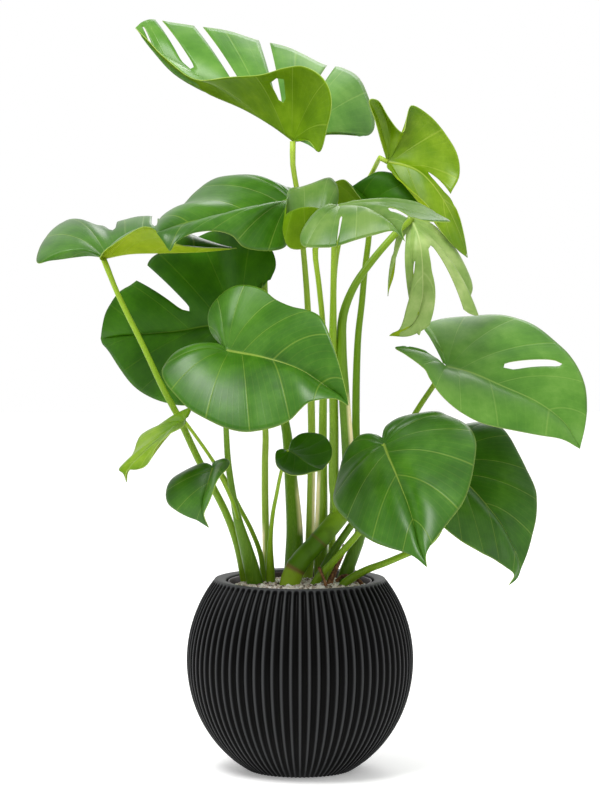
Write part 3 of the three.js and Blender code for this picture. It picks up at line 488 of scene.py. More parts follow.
# name, radius at the blade, radius at the foot, how much of the foot is sheath, its skin, its middle line
# from the blade down, all in mm
PETIOLES = [
    ("top_leaf", 3.2, 6, 0.25, pale_petiole, [(-9, -3, 801), (-9, -1, 771), (-4, 7, 740), (4, 13, 666),
     (10, 20, 588), (15, 42, 431), (14, 52, 340), (12, 58, 261), (10, 60, 237), (10, 60, GROUND_Z)]),
    ("upper_right_leaf", 2.8, 5, 0.2, pale_petiole, [(112, 30, 775), (104, 33, 781), (97, 56, 770),
     (90, 65, 756), (72, 66, 726), (53, 68, 681), (45, 67, 636), (44, 64, 546), (44, 61, 417), (41, 66, 261),
     (40, 66, GROUND_Z)]),
    ("curled_leaf", 3.2, 7.5, 0.5, green_petiole, [(22, -56, 677), (19, -56, 665), (24, -48, 619),
     (29, -34, 564), (29, 0, 435), (28, 20, 343), (27, 32, 290), (27, 36, 238), (27, 36, GROUND_Z)]),
    ("front_leaf", 3.2, 5, 0.3, green_petiole, [(47, -95, 720), (43, -93, 701), (42, -88, 666),
     (41, -64, 553), (43, -27, 437), (43, -6, 371), (46, -1, 327)]),
    ("rear_leaf", 3.6, 8.5, 0.35, deep_petiole, [(91, 40, 721), (89, 37, 699), (88, 34, 679), (83, 30, 639),
     (79, 28, 595), (74, 28, 548), (72, 30, 419), (77, 29, 341), (78, 28, 302), (68, 27, 272), (56, 26, 239),
     (55, 26, GROUND_Z)]),
    ("hanging_leaf", 4.2, 6.5, 0.45, deep_petiole, [(140, -15, 703), (133, -25, 698), (118, -34, 683),
     (91, -44, 652), (68, -56, 620), (54, -61, 584), (52, -60, 546), (56, -48, 476), (61, -25, 399),
     (61, -8, 353), (56, 0, 329)]),
    ("mid_left_leaf", 4, 11.4, 0.5, deep_petiole, [(-10, 5, 728), (-28, 17, 700), (-41, 32, 663),
     (-46, 47, 624), (-41, 64, 559), (-30, 71, 481), (-18, 70, 431), (-12, 60, 370), (-7, 42, 300),
     (-8, 31, 264), (-9, 22, 238), (-9, 22, GROUND_Z)]),
    ("left_leaf", 3.2, 6.2, 0.2, green_petiole, [(-247, -30, 653), (-229, -24, 607), (-199, -17, 544),
     (-172, -10, 485), (-155, -6, 453), (-130, 2, 398), (-110, 12, 358), (-94, 22, 324), (-80, 30, 283),
     (-70, 36, 234), (-68, 38, GROUND_Z)]),
    ("back_left_leaf", 3.2, 4.6, 0.2, pale_petiole, [(-77, 33, 569), (-69, 29, 535), (-57, 27, 484),
     (-45, 29, 439), (-45, 36, 389), (-45, 43, 341), (-44, 48, 293), (-43, 50, 239), (-43, 50, GROUND_Z)]),
    ("heart_leaf", 3, 10.4, 0.45, deep_petiole, [(-91, -95, 541), (-93, -80, 510), (-94, -60, 477),
     (-93, -44, 440), (-91, -32, 399), (-86, -22, 360), (-79, -12, 321), (-69, -2, 284), (-58, 8, 239),
     (-56, 10, GROUND_Z)]),
    ("right_leaf", 3.2, 5.4, 0.3, deep_petiole, [(185, -20, 516), (178, -18, 506), (169, -14, 492),
     (145, -6, 454), (121, 4, 402), (93, 8, 351), (65, 10, 311), (42, 13, 276), (24, 16, 242),
     (18, 17, GROUND_Z)]),
    ("low_right_leaf", 3, 5.2, 0.35, green_petiole, [(104, -85, 424), (105, -77, 401), (102, -62, 364),
     (90, -46, 331), (71, -34, 303), (44, -22, 271), (19, -12, 240), (12, -10, GROUND_Z)]),
    ("low_back_leaf", 3, 6, 0.3, green_petiole, [(180, 15, 395), (182, 12, 357), (179, 2, 309),
     (161, -6, 288), (132, -12, 276), (108, -14, 266), (87, -12, 258), (66, -8, 246), (55, -7, 236),
     (50, -7, GROUND_Z)]),
    ("small_left_leaf", 2, 2.6, 0.1, green_petiole, [(-109, -70, 393), (-101, -67, 384), (-93, -60, 368),
     (-84, -42, 345), (-79, -14, 322)]),
    ("small_cupped_leaf", 2, 6.4, 0.5, green_petiole, [(-14, -60, 414), (-20, -55, 399), (-25, -46, 380),
     (-30, -36, 354), (-34, -26, 333), (-38, -6, 291), (-38, 14, 240), (-38, 14, GROUND_Z)]),
    ("lance_leaf", 2, 4, 0.3, green_petiole, [(-145, -55, 450), (-136, -52, 438), (-119, -42, 413),
     (-105, -28, 390), (-94, -14, 372), (-78, 2, 337), (-62, 18, 304), (-50, 29, 269), (-47, 32, 234),
     (-47, 32, GROUND_Z)]),
]


def smoothstep(value, low, high):
    t = min(1.0, max(0.0, (value - low) / (high - low)))
    return t * t * (3 - 2 * t)


def petiole_radius(at_blade, at_foot, sheath, fuller):
    """The radius from the knee at the blade down to the sheath at the foot."""
    def radius_at(way):
        slim = at_blade + (min(at_foot, at_blade * 1.5) - at_blade) * way
        knee = 1 + KNEE * (1 - smoothstep(way, 0.02, 0.07))
        full = 1 + fuller * smoothstep(way, 0.25, 0.5) * (1 - smoothstep(way, 0.9, 1))
        return (slim + (at_foot - slim) * smoothstep(way, 1 - sheath, 1)) * knee * MM * full
    return radius_at


# the stalk's lower half against the even line from blade to foot
USUAL_FULLNESS = 1.08
FULLNESS = {"curled_leaf": 1.3, "front_leaf": 1.35, "hanging_leaf": 1.25, "top_leaf": 1.15, "rear_leaf": 1.1}
# the papery edge of a sheath: the way it faces, its lower and upper height, its width in radians
PAPERY_EDGES = {
    "top_leaf": ((0.8, -0.6, 0), 290, 400, 0.5),
    "back_left_leaf": ((-0.8, -0.6, 0), 262, 316, 0.5),
    "mid_left_leaf": ((0.85, -0.55, 0), 296, 368, 0.35),
    "hanging_leaf": ((0.8, -0.6, 0), 395, 490, 0.45),
    "curled_leaf": ((-0.8, -0.6, 0), 300, 390, 0.4),
}
for name, at_blade, at_foot, sheath, skin, line in PETIOLES:
    points = [Vector(place) * MM for place in line]
    petiole_shape = bmesh.new()
    steps = 40 if len(line) > 6 else 24
    middle_line = even_line(points, steps)
    radius_at = petiole_radius(at_blade, at_foot, sheath, FULLNESS.get(name, USUAL_FULLNESS) - 1)
    sweep(petiole_shape, middle_line, radius_at, PETIOLE_SIDES)
    papery_mark = petiole_shape.verts.layers.float.new("papery")
    if name in PAPERY_EDGES:
        facing, low, high, wide = PAPERY_EDGES[name]
        facing = Vector(facing).normalized()
        for vert in petiole_shape.verts:
            centre = min(middle_line, key=lambda place: (place - vert.co).length)
            out = vert.co - centre
            out.z = 0
            turn = out.angle(facing) if out.length > 1e-6 else math.pi
            height = vert.co.z / MM
            inside = smoothstep(height, low, low + 12) * (1 - smoothstep(height, high - 25, high))
            vert[papery_mark] = inside * (1 - smoothstep(turn, wide * 0.7, wide * 1.6))
    bmesh.ops.recalc_face_normals(petiole_shape, faces=petiole_shape.faces)
    finish_piece("stalk_" + name, petiole_shape, [skin], "petiole", "petiole_" + name)

# ---------------------------------------------------------------- leaf blades
# Leathery blades, 0.9 mm thick here, hang on the petioles: heart-shaped when young, split between the side
# veins when grown. The upper side is a glossy cuticle, the underside duller and yellower with raised veins.
# how far down the midrib the side veins start, for even steps along the margin
VEIN_ROOTS = [0, 0.006, 0.014, 0.03, 0.08, 0.24, 0.5, 0.78, 0.97]
BLADE_THICKNESS = 0.0009
BLADE_ROWS = 20
QUILT_HEIGHT = 1.5  # mm between two side veins of a blade of FULL_SIZE
SWELL_HEIGHT = 2.2  # mm of the broad waves in such a blade
FULL_SIZE = 200


def smooth_line(places, way, straight_ends=True):
    """A place on the smooth line through places, which takes the same share of way for each stretch."""
    spans = len(places) - 1
    at = min(max(way, 0.0), 1.0) * spans
    i = min(int(at), spans - 1)
    w = at - i
    p1, p2 = places[i], places[i + 1]
    before, after = (p1 * 2 - p2, p2 * 2 - p1) if straight_ends else (p1, p2)
    p0 = places[i - 1] if i > 0 else before
    p3 = places[i + 2] if i + 2 <= spans else after
    v0 = (p2 - p0) * 0.5
    v1 = (p3 - p1) * 0.5
    return (2 * p1 - 2 * p2 + v0 + v1) * w ** 3 + (-3 * p1 + 3 * p2 - 2 * v0 - v1) * w ** 2 + v0 * w + p1


class Blade:
    """The form of one blade, folded and hanging as its given points set it: side veins join its midrib to its
    margins, with a swell between them. u runs along the margin from the notch to the tip, s from midrib to
    margin."""

    def __init__(self, name, length, fan, belly, midrib, left, right, skin, veins, slits=()):
        self.name, self.length, self.fan = name, length, fan
        self.belly = [Vector(swell) for swell in belly]
        self.midrib = [Vector(place) for place in midrib]
        tip = midrib[-1]
        self.margins = {1: [Vector(place) for place in left + [tip]],
                        -1: [Vector(place) for place in right + [tip]]}
        self.skin, self.veins, self.slits = skin, veins, slits

    def place(self, u, s, side):
        root = max(0.0, smooth_line(VEIN_ROOTS, u, straight_ends=False))
        start = smooth_line(self.midrib, root ** self.fan)
        end = smooth_line(self.margins[side], u)
        swell = 4 * s * (1 - s) * min(1.0, (end - start).length / (self.length * 0.4))
        return (start.lerp(end, s) + self.belly[0 if side > 0 else 1] * swell) * MM

    def slit_edge(self, slit, s):
        """Half the width of a slit at s, round at its inner end, and at its outer end if it is a hole."""
        inner, outer, inner_width, outer_width = slit[2:]
        way = min(1.0, max(0.0, (s - inner) / (outer - inner)))
        width = inner_width + (outer_width - inner_width) * way
        round_in = math.sqrt(max(0.0, 1 - (1 - min(1.0, way / 0.16)) ** 2))
        round_out = 1.0
        if outer < 1:
            round_out = math.sqrt(max(0.0, 1 - (1 - min(1.0, (1 - way) / 0.2)) ** 2))
        return width * max(0.02, round_in * round_out)

    def opens(self, slit, side):
        return slit[1] == "both" or (slit[1] == "left") == (side > 0)

    def edge_ways(self, s, side):
        """Where the slits' edges meet the way along the margin at s. A slit of the other half stays shut,
        and its two edges give way to an open slit beside them."""
        ways = [0.0]
        for slit in self.slits:
            half = self.slit_edge(slit, s if self.opens(slit, side) else 0.0)
            ways += [slit[0] - half, slit[0] + half]
        ways.append(1.0)
        for k, slit in enumerate(self.slits):
            if self.opens(slit, side):
                near, far = 2 * k + 1, 2 * k + 2
                for j in range(1, near):
                    ways[j] = min(ways[j], ways[near] - 0.001 * (near - j))
                for j in range(far + 1, len(ways) - 1):
                    ways[j] = max(ways[j], ways[far] + 0.001 * (j - far))
        return ways

    def columns(self, step):
        """Lines from midrib to margin: the edge before each, its share of the way to the next, its slit."""
        ways = self.edge_ways(0, 1)
        columns = []
        for k in range(len(ways) - 1):
            slit = self.slits[k // 2] if k % 2 else None
            parts = 1 if slit else max(4, round((ways[k + 1] - ways[k]) / step))
            columns += [(k, part / parts, slit) for part in range(parts)]
        columns.append((len(ways) - 2, 1.0, None))
        return columns

    def column_way(self, column, s, side):
        ways = self.edge_ways(s, side)
        return ways[column[0]] + (ways[column[0] + 1] - ways[column[0]]) * column[1]

    def vein_phase(self, u, side):
        """Whole numbers are side veins. Slits lie half-way between two of them."""
        phase = u * self.veins
        for mark in [slit[0] for slit in self.slits if self.opens(slit, side)]:
            goal = round(mark * self.veins - 0.5) + 0.5
            pull = math.exp(-((u - mark) / 0.07) ** 2)
            phase += (goal - mark * self.veins) * pull
        return phase

    def build(self, step):
        shape = bmesh.new()
        uv_layer = shape.loops.layers.uv.new("veins")
        relief = {}
        columns = self.columns(step)
        count = len(columns) - 1
        for side in (1, -1):
            made = bmesh.ops.create_grid(shape, x_segments=count, y_segments=BLADE_ROWS, size=0.5)
            verts = made["verts"]
            marks = {}
            for vert in verts:
                row = round((vert.co.y + 0.5) * BLADE_ROWS)
                marks[vert] = (round((vert.co.x + 0.5) * count), row / BLADE_ROWS)
            faces = list({face for vert in verts for face in vert.link_faces})
            for face in faces:
                for loop in face.loops:
                    i, s = marks[loop.vert]
                    u = self.column_way(columns[i], s, side)
                    loop[uv_layer].uv = (self.vein_phase(u, side), s)
            gone = []
            for face in faces:
                i = min(marks[vert][0] for vert in face.verts)
                slit = columns[i][2]
                s = sum(marks[vert][1] for vert in face.verts) / 4
                if slit and self.opens(slit, side) and slit[2] < s < slit[3]:
                    gone.append(face)
            for vert in verts:
                i, s = marks[vert]
                u = self.column_way(columns[i], s, side)
                phase = self.vein_phase(u, side)
                quilt = abs(math.sin(math.pi * phase)) ** 0.7 * min(1, 4 * s) * (1 - 0.6 * s)
                quilt *= QUILT_HEIGHT * (1 - smoothstep(u, 0.85, 1))
                swell = noise.noise(Vector((3.1 * u, 1.7 * s, 0.7 * side + self.length))) * min(1, 3 * s)
                swell *= SWELL_HEIGHT * (1 - smoothstep(u, 0.75, 0.95))
                relief[vert] = (quilt + swell) * min(1.0, self.length / FULL_SIZE) * MM
                vert.co = self.place(u, s, side)
            if side < 0:
                bmesh.ops.reverse_faces(shape, faces=faces)
            bmesh.ops.delete(shape, geom=gone, context="FACES_ONLY")
            loose = [vert for vert in verts if vert.is_valid and not vert.link_faces]
            bmesh.ops.delete(shape, geom=loose, context="VERTS")
        loose_edges = [edge for edge in shape.edges if not edge.link_faces]
        bmesh.ops.delete(shape, geom=loose_edges, context="EDGES")
        shape.normal_update()
        for vert, height in relief.items():
            if vert.is_valid:
                vert.co += vert.normal * height
        bmesh.ops.remove_doubles(shape, verts=shape.verts, dist=0.00006)
        return shape


# A living leaf's skin. The upper side is a smooth waxy cuticle over dark palisade cells, and veins show as
# thin paler lines, spaced as on the real leaf.
def leaf_skin(name, deep, middle, light, vein, roughness, vein_strength, bump_turn, gloss):
    material, shader = new_material(name, roughness, IOR=1.45, Specular_IOR_Level=gloss)
    uv = add_node(material, "ShaderNodeUVMap", {"uv_map": "veins"})
    parts = add_node(material, "ShaderNodeSeparateXYZ", Vector=uv.outputs["UV"])
    place = add_node(material, "ShaderNodeTexCoord")
    clouds = add_node(material, "ShaderNodeTexNoise", Vector=place.outputs["Object"], Scale=16.0, Detail=6.0,
                      Roughness=0.62)
    tone = ramp(material, clouds.outputs["Fac"], (0.36, deep), (0.5, middle), (0.66, light))
    # side veins lie at whole numbers of the first UV number, with six finer veins between two of them
    away = []
    for times, shift in ((1.0, 0.5), (6.0, 0.0)):
        turned = add_node(material, "ShaderNodeMath", {"operation": "MULTIPLY_ADD"}, i0=parts.outputs["X"],
                          i1=times, i2=shift)
        part = add_node(material, "ShaderNodeMath", {"operation": "FRACT"}, i0=turned.outputs[0])
        off = add_node(material, "ShaderNodeMath", {"operation": "SUBTRACT"}, i0=part.outputs[0], i1=0.5)
        away.append(add_node(material, "ShaderNodeMath", {"operation": "ABSOLUTE"}, i0=off.outputs[0]))
    side_vein = ramp(material, away[0].outputs[0], (0.0, 0.55), (0.010, 0.35), (0.028, 0))
    fine_vein = ramp(material, away[1].outputs[0], (0.0, 0.1), (0.1, 0))
    midrib = ramp(material, parts.outputs["Y"], (0.0, 1), (0.010, 1), (0.024, 0))
    margin = ramp(material, parts.outputs["Y"], (0.982, 0), (0.996, 0.5))
    lines = [side_vein]
    for more in (fine_vein, midrib, margin):
        lighter = add_node(material, "ShaderNodeMix", {"data_type": "RGBA", "blend_type": "LIGHTEN"}, i0=1.0,
                           i6=lines[-1], i7=more)
        lines.append(lighter.outputs[2])
    relief = lines[-2]  # all but the margin, which lies flat
    shown = add_node(material, "ShaderNodeMath", {"operation": "MULTIPLY"}, i0=lines[-1], i1=vein_strength)
    colour = add_node(material, "ShaderNodeMix", {"data_type": "RGBA"}, i0=shown.outputs[0], i6=tone,
                      i7=linear(vein))
    link(material, colour.outputs[2], shader.inputs["Base Color"])
    grain = add_node(material, "ShaderNodeTexNoise", Vector=place.outputs["Object"], Scale=420.0, Detail=3.0)
    bump = add_node(material, "ShaderNodeBump", Strength=0.12, Distance=0.0003, Height=grain.outputs["Fac"])
    veins = add_node(material, "ShaderNodeBump", {"invert": bump_turn < 0}, Strength=0.5, Distance=0.0006,
                     Height=relief, Normal=bump.outputs["Normal"])
    link(material, veins.outputs["Normal"], shader.inputs["Normal"])
    return material


deep_upper = leaf_skin("deep_green_leaf_cuticle", "#234e02", "#2c5904", "#376807",
                       "#709022", 0.38, 0.3, -1, 0.08)
green_upper = leaf_skin("green_leaf_cuticle", "#275205", "#305e0a", "#406e16",
                        "#96a944", 0.34, 0.5, -1, 0.32)
# Paler, greyer green: the leaf's own green with painted sheen of the overhead soft box mixed into the base
# colour; the gloss adds real sheen on top.
upper_with_painted_sheen = leaf_skin("leaf_cuticle_with_painted_sheen", "#40701d", "#4d7d25", "#608c35",
                           "#98b258", 0.34, 0.4, -1, 0.32)
# Paler green again: the leaf's own green with painted sheen of the overhead soft box mixed into the base
# colour.
pale_upper_with_painted_sheen = leaf_skin("pale_leaf_cuticle_with_painted_sheen", "#3d641a", "#4a6e25", "#607e36",
                       "#a2b670", 0.36, 0.4, -1, 0.3)
limp_upper = leaf_skin("limp_leaf_cuticle", "#6f9040", "#84a052", "#a2b670",
                       "#c4d28e", 0.45, 0.4, -1, 0.3)
bright_upper = leaf_skin("young_leaf_cuticle", "#4f7400", "#5e7f03", "#749218",
                         "#b5c158", 0.36, 0.4, -1, 0.25)
green_under = leaf_skin("leaf_underside", "#4a6b00", "#577803", "#68880f",
                        "#94a941", 0.55, 0.5, 1, 0.08)
bright_under = leaf_skin("young_leaf_underside", "#718e07", "#809911", "#93a725",
                         "#b5c161", 0.5, 0.5, 1, 0.1)
# The rim of a blade: thin, paler and a little cloudy, it draws a light line round the leaf.
rim_edge, shader = new_material("leaf_margin", 0.45, IOR=1.42)
rim_place = add_node(rim_edge, "ShaderNodeTexCoord")
rim_noise = add_node(rim_edge, "ShaderNodeTexNoise", Vector=rim_place.outputs["Object"], Scale=60.0)
link(rim_edge, ramp(rim_edge, rim_noise.outputs["Fac"], (0.3, "#7d9a30"), (0.7, "#96ad4c")),
     shader.inputs["Base Color"])

DEEP = (deep_upper, green_under, rim_edge)
GREEN = (green_upper, green_under, rim_edge)
GREEN_WITH_PAINTED_SHEEN = (upper_with_painted_sheen, green_under, rim_edge)
PALE_WITH_PAINTED_SHEEN = (pale_upper_with_painted_sheen, green_under, rim_edge)
BRIGHT = (bright_upper, bright_under, rim_edge)
TURNED = (green_upper, bright_under, rim_edge)
LIMP = (limp_upper, bright_under, rim_edge)

# name, length of the midrib in mm, how strongly its side veins gather at the notch, the swell of each half,
# the midrib from notch to tip, and both margins, which end at the same tip; a slit has its place on the
# margin, its half of the blade, its inner and outer end from midrib to margin, and half its width at each
BLADES = [
    Blade("top_leaf", 297, 2.2, [[0, 12, 10], [0, -5, 6]],
          midrib=[(-9, -3, 801), (-38, 22, 822), (-74, 50, 843), (-119, 80, 863), (-162, 102, 888),
           (-192, 115, 920), (-214, 122, 949)],
          left=[(-4, -8, 800), (11, -25, 801), (24, -45, 787), (32, -62, 812), (38, -75, 848), (29, -72, 876),
           (4, -60, 892), (-20, -42, 891), (-48, -22, 884), (-89, 8, 882), (-135, 42, 881), (-174, 85, 909),
           (-197, 108, 932)],
          right=[(-5, 4, 803), (15, 20, 805), (38, 45, 811), (67, 72, 811), (87, 95, 809), (96, 112, 823),
           (90, 128, 855), (77, 140, 884), (56, 148, 898), (31, 153, 903), (-13, 158, 925), (-55, 162, 935),
           (-95, 163, 948), (-131, 162, 953), (-168, 158, 958), (-194, 148, 961), (-206, 136, 957)],
          skin=GREEN_WITH_PAINTED_SHEEN, veins=8, slits=[(0.509, "right", 0.25, 1, 0.02, 0.0124),
           (0.577, "left", 0.45, 0.85, 0.02, 0.032), (0.635, "right", 0.25, 1, 0.012, 0.01),
           (0.768, "right", 0.25, 1, 0.012, 0.0095), (0.859, "right", 0.25, 1, 0.012, 0.011),
           (0.95, "right", 0.25, 0.85, 0.006, 0.006)]),
    Blade("upper_right_leaf", 178, 2, [[4, 10, 4], [-3, -6, -3]],
          midrib=[(112, 30, 775), (134, 20, 771), (154, 10, 761), (175, 0, 737), (192, -5, 707),
           (205, -6, 676), (212, -4, 654)],
          left=[(110, 28, 780), (103, 15, 800), (95, 5, 828), (87, 0, 852), (100, 6, 852), (113, 14, 831),
           (130, 22, 813), (136, 26, 833), (143, 28, 847), (166, 30, 833), (186, 28, 809), (200, 24, 784),
           (202, 18, 757), (190, 8, 731), (199, 2, 714), (206, -1, 692), (210, -3, 671)],
          right=[(112, 26, 770), (114, 16, 765), (122, 6, 756), (134, -4, 745), (151, -14, 730),
           (166, -18, 712), (174, -18, 692), (186, -14, 677), (199, -8, 664)],
          skin=BRIGHT, veins=7, slits=[(0.785, "left", 0.25, 1, 0.042, 0.03)]),
    Blade("curled_leaf", 110, 1.4, [[0, -6, 2], [0, -8, 8]],
          midrib=[(22, -56, 677), (10, -60, 669), (-4, -66, 666), (-15, -72, 670), (-20, -76, 683),
           (-21, -78, 695), (-17, -78, 710)],
          left=[(26, -60, 680), (30, -66, 693), (31, -72, 708), (26, -76, 716), (15, -80, 719), (0, -84, 718),
           (-11, -84, 714)],
          right=[(25, -50, 681), (38, -40, 700), (47, -30, 721), (48, -22, 740), (43, -16, 751),
           (35, -12, 755), (16, -8, 748), (0, -10, 743), (-14, -20, 740), (-16, -50, 726)],
          skin=PALE_WITH_PAINTED_SHEEN, veins=6),
    Blade("front_leaf", 178, 1.6, [[0, 4, 6], [0, -6, 10]],
          midrib=[(47, -95, 720), (64, -102, 721), (78, -112, 719), (91, -132, 712), (105, -157, 702),
           (117, -185, 689), (126, -205, 679)],
          left=[(51, -90, 721), (62, -82, 723), (81, -80, 721), (105, -80, 723), (126, -84, 726),
           (142, -94, 725), (158, -108, 718), (168, -125, 711), (183, -150, 703), (172, -158, 702),
           (151, -165, 704), (135, -172, 707), (126, -182, 701), (123, -192, 691)],
          right=[(44, -96, 718), (33, -98, 720), (21, -108, 715), (10, -122, 703), (1, -138, 688),
           (1, -150, 676), (7, -158, 671), (24, -166, 670), (41, -170, 671), (52, -172, 674), (69, -174, 680),
           (91, -180, 686), (109, -186, 691), (118, -194, 688)],
          skin=PALE_WITH_PAINTED_SHEEN, veins=7, slits=[(0.6, "right", 0.45, 1, 0.014, 0.006),
           (0.8, "left", 0.45, 1, 0.02, 0.012)]),
    Blade("mid_left_leaf", 178, 1.3, [[0, -10, 8], [0, -4, 12]],
          midrib=[(-10, 5, 728), (-38, -8, 719), (-69, -24, 712), (-103, -44, 706), (-137, -66, 700),
           (-161, -86, 693), (-177, -98, 687)],
          left=[(-13, -4, 723), (-11, -22, 702), (-14, -40, 677), (-24, -55, 666), (-47, -68, 664),
           (-70, -78, 669), (-84, -86, 683), (-102, -92, 689), (-120, -98, 689), (-138, -106, 685),
           (-153, -112, 676), (-160, -114, 665), (-169, -108, 677)],
          right=[(-11, 12, 733), (-8, 32, 739), (-23, 50, 741), (-41, 62, 743), (-62, 70, 751),
           (-82, 74, 757), (-103, 70, 755), (-121, 60, 746), (-136, 44, 733), (-149, 20, 719),
           (-164, -12, 713), (-175, -48, 704), (-178, -76, 695)],
          skin=GREEN, veins=7),
    Blade("rear_leaf", 123, 1.4, [[0, 0, 3], [0, -6, 6]],
          midrib=[(91, 40, 721), (70, 45, 723), (49, 50, 721), (28, 52, 720), (13, 50, 719)],
          left=[(89, 36, 719), (82, 30, 723), (74, 25, 732), (66, 23, 742), (55, 23, 752), (38, 27, 746),
           (23, 35, 733)],
          right=[(95, 42, 723), (121, 30, 716), (153, 20, 711), (174, 14, 710), (176, 18, 720),
           (169, 25, 732), (153, 33, 742), (134, 40, 753), (115, 45, 761), (100, 47, 762), (87, 48, 755),
           (64, 51, 739), (38, 54, 729)],
          skin=DEEP, veins=6),
    Blade("hanging_leaf", 163, 2, [[8, -5, 8], [-7, -5, 8]],
          midrib=[(140, -15, 703), (147, -30, 687), (152, -40, 665), (154, -46, 633), (153, -48, 602),
           (141, -48, 571), (112, -46, 557)],
          left=[(143, -12, 706), (157, 0, 702), (174, 10, 684), (191, 14, 661), (211, 14, 640),
           (219, 10, 615), (212, 4, 592), (225, -20, 582), (214, -30, 584), (195, -40, 596), (176, -46, 590),
           (163, -48, 571), (138, -47, 557)],
          right=[(138, -14, 704), (129, -12, 699), (121, -16, 685), (121, -24, 664), (118, -30, 633),
           (111, -34, 605), (126, -40, 589), (136, -45, 579), (149, -49, 558), (152, -49, 571),
           (146, -48, 565), (133, -47, 559), (123, -47, 557)],
          skin=LIMP, veins=6, slits=[(0.485, "right", 0.2, 1, 0.035, 0.105),
           (0.5, "left", 0.22, 1, 0.035, 0.03), (0.75, "left", 0.2, 1, 0.05, 0.10),
           (0.77, "right", 0.25, 1, 0.02, 0.045)]),
    Blade("left_leaf", 180, 1.3, [[0, -6, 14], [0, 9, 6]],
          midrib=[(-247, -30, 653), (-214, -22, 659), (-171, -10, 660), (-127, 2, 661), (-80, 14, 665)],
          left=[(-251, -26, 655), (-267, -30, 657), (-292, -34, 654), (-314, -34, 651), (-331, -25, 648),
           (-330, 10, 667), (-321, 50, 685), (-307, 78, 697), (-293, 95, 701), (-263, 105, 690),
           (-224, 108, 700), (-197, 102, 704), (-175, 88, 696), (-142, 62, 678), (-109, 38, 668)],
          right=[(-246, -38, 650), (-250, -58, 655), (-241, -74, 665), (-223, -82, 677), (-205, -84, 689),
           (-189, -80, 694), (-174, -68, 685), (-158, -52, 674), (-132, -32, 668), (-107, -10, 666)],
          skin=TURNED, veins=8, slits=[(0.62, "left", 0.45, 1, 0.01, 0.028),
           (0.76, "left", 0.45, 1, 0.01, 0.012)]),
    Blade("back_left_leaf", 241, 1.4, [[0, -10, 4], [0, -10, 4]],
          midrib=[(-77, 33, 569), (-100, 50, 566), (-123, 70, 563), (-156, 93, 556), (-196, 118, 551),
           (-230, 143, 547), (-264, 174, 542)],
          left=[(-72, -2, 565), (-62, -23, 547), (-64, -32, 518), (-83, -25, 490), (-113, -7, 471),
           (-147, 22, 464), (-175, 54, 466), (-199, 85, 473), (-217, 112, 483), (-234, 138, 500),
           (-251, 159, 524), (-261, 171, 535)],
          right=[(-71, 6, 576), (-56, 5, 596), (-48, 6, 615), (-46, 7, 624), (-37, 6, 629), (-31, 7, 641),
           (-32, 9, 655), (-39, 14, 667), (-57, 27, 677), (-81, 48, 684), (-110, 85, 686), (-130, 98, 679),
           (-147, 108, 670), (-167, 116, 661), (-186, 122, 655), (-197, 127, 645), (-202, 131, 630),
           (-220, 136, 615), (-236, 140, 605), (-247, 145, 592), (-256, 150, 576), (-261, 156, 557)],
          skin=DEEP, veins=8, slits=[(0.727, "right", 0.25, 1, 0.016, 0.03)]),
    Blade("heart_leaf", 205, 1.5, [[0, 2, 10], [0, -6, 10]],
          midrib=[(-91, -95, 541), (-68, -112, 538), (-47, -131, 535), (-18, -150, 528), (6, -171, 519),
           (30, -190, 504), (48, -205, 493), (58, -219, 482)],
          left=[(-94, -72, 544), (-107, -70, 557), (-114, -66, 570), (-114, -63, 588), (-104, -62, 605),
           (-87, -64, 618), (-69, -70, 622), (-47, -82, 617), (-30, -100, 605), (-10, -121, 597),
           (12, -143, 593), (27, -162, 584), (36, -179, 565), (45, -194, 540), (52, -207, 513),
           (57, -214, 492)],
          right=[(-96, -79, 541), (-110, -80, 546), (-124, -82, 548), (-142, -88, 545), (-156, -98, 537),
           (-167, -108, 524), (-170, -117, 514), (-164, -127, 501), (-152, -139, 488), (-136, -153, 473),
           (-115, -168, 462), (-91, -182, 452), (-70, -193, 448), (-51, -202, 450), (-30, -208, 455),
           (-12, -213, 464), (0, -216, 476), (10, -217, 485), (24, -218, 489), (43, -219, 490)],
          skin=GREEN, veins=8),
    Blade("right_leaf", 205, 1.6, [[0, 4, 9], [0, -4, 8]],
          midrib=[(185, -20, 516), (215, -24, 509), (253, -28, 493), (300, -34, 472), (334, -42, 446),
           (352, -48, 415)],
          left=[(181, -16, 521), (175, 0, 534), (166, 25, 551), (159, 48, 565), (180, 60, 573),
           (219, 68, 577), (262, 70, 578), (297, 62, 568), (325, 45, 548), (347, 25, 525), (361, 2, 495),
           (363, -18, 464), (359, -36, 440)],
          right=[(178, -26, 518), (153, -40, 535), (132, -50, 543), (119, -56, 542), (133, -64, 533),
           (154, -72, 518), (162, -78, 504), (177, -84, 483), (197, -88, 466), (224, -88, 451),
           (255, -84, 443), (293, -76, 435), (328, -62, 428)],
          skin=GREEN_WITH_PAINTED_SHEEN, veins=8, slits=[(0.72, "left", 0.25, 0.85, 0.018, 0.012)]),
    Blade("low_right_leaf", 214, 1.6, [[0, -4, 10], [0, -6, 10]],
          midrib=[(104, -85, 424), (109, -107, 411), (116, -130, 396), (124, -155, 377), (132, -180, 357),
           (138, -204, 336), (143, -226, 314), (152, -248, 290)],
          left=[(106, -65, 427), (105, -65, 439), (110, -63, 447), (122, -62, 454), (139, -61, 459),
           (157, -63, 462), (173, -66, 463), (187, -74, 458), (203, -88, 451), (213, -107, 442),
           (217, -130, 428), (214, -155, 409), (208, -180, 387), (199, -201, 366), (183, -218, 346),
           (168, -230, 329), (156, -238, 314), (151, -244, 303)],
          right=[(102, -65, 424), (96, -64, 430), (88, -63, 434), (76, -61, 432), (65, -59, 423),
           (56, -59, 409), (50, -63, 391), (45, -72, 370), (42, -85, 355), (47, -101, 344), (58, -122, 333),
           (71, -148, 322), (88, -176, 313), (107, -201, 308), (124, -220, 305), (137, -235, 301)],
          skin=GREEN, veins=8),
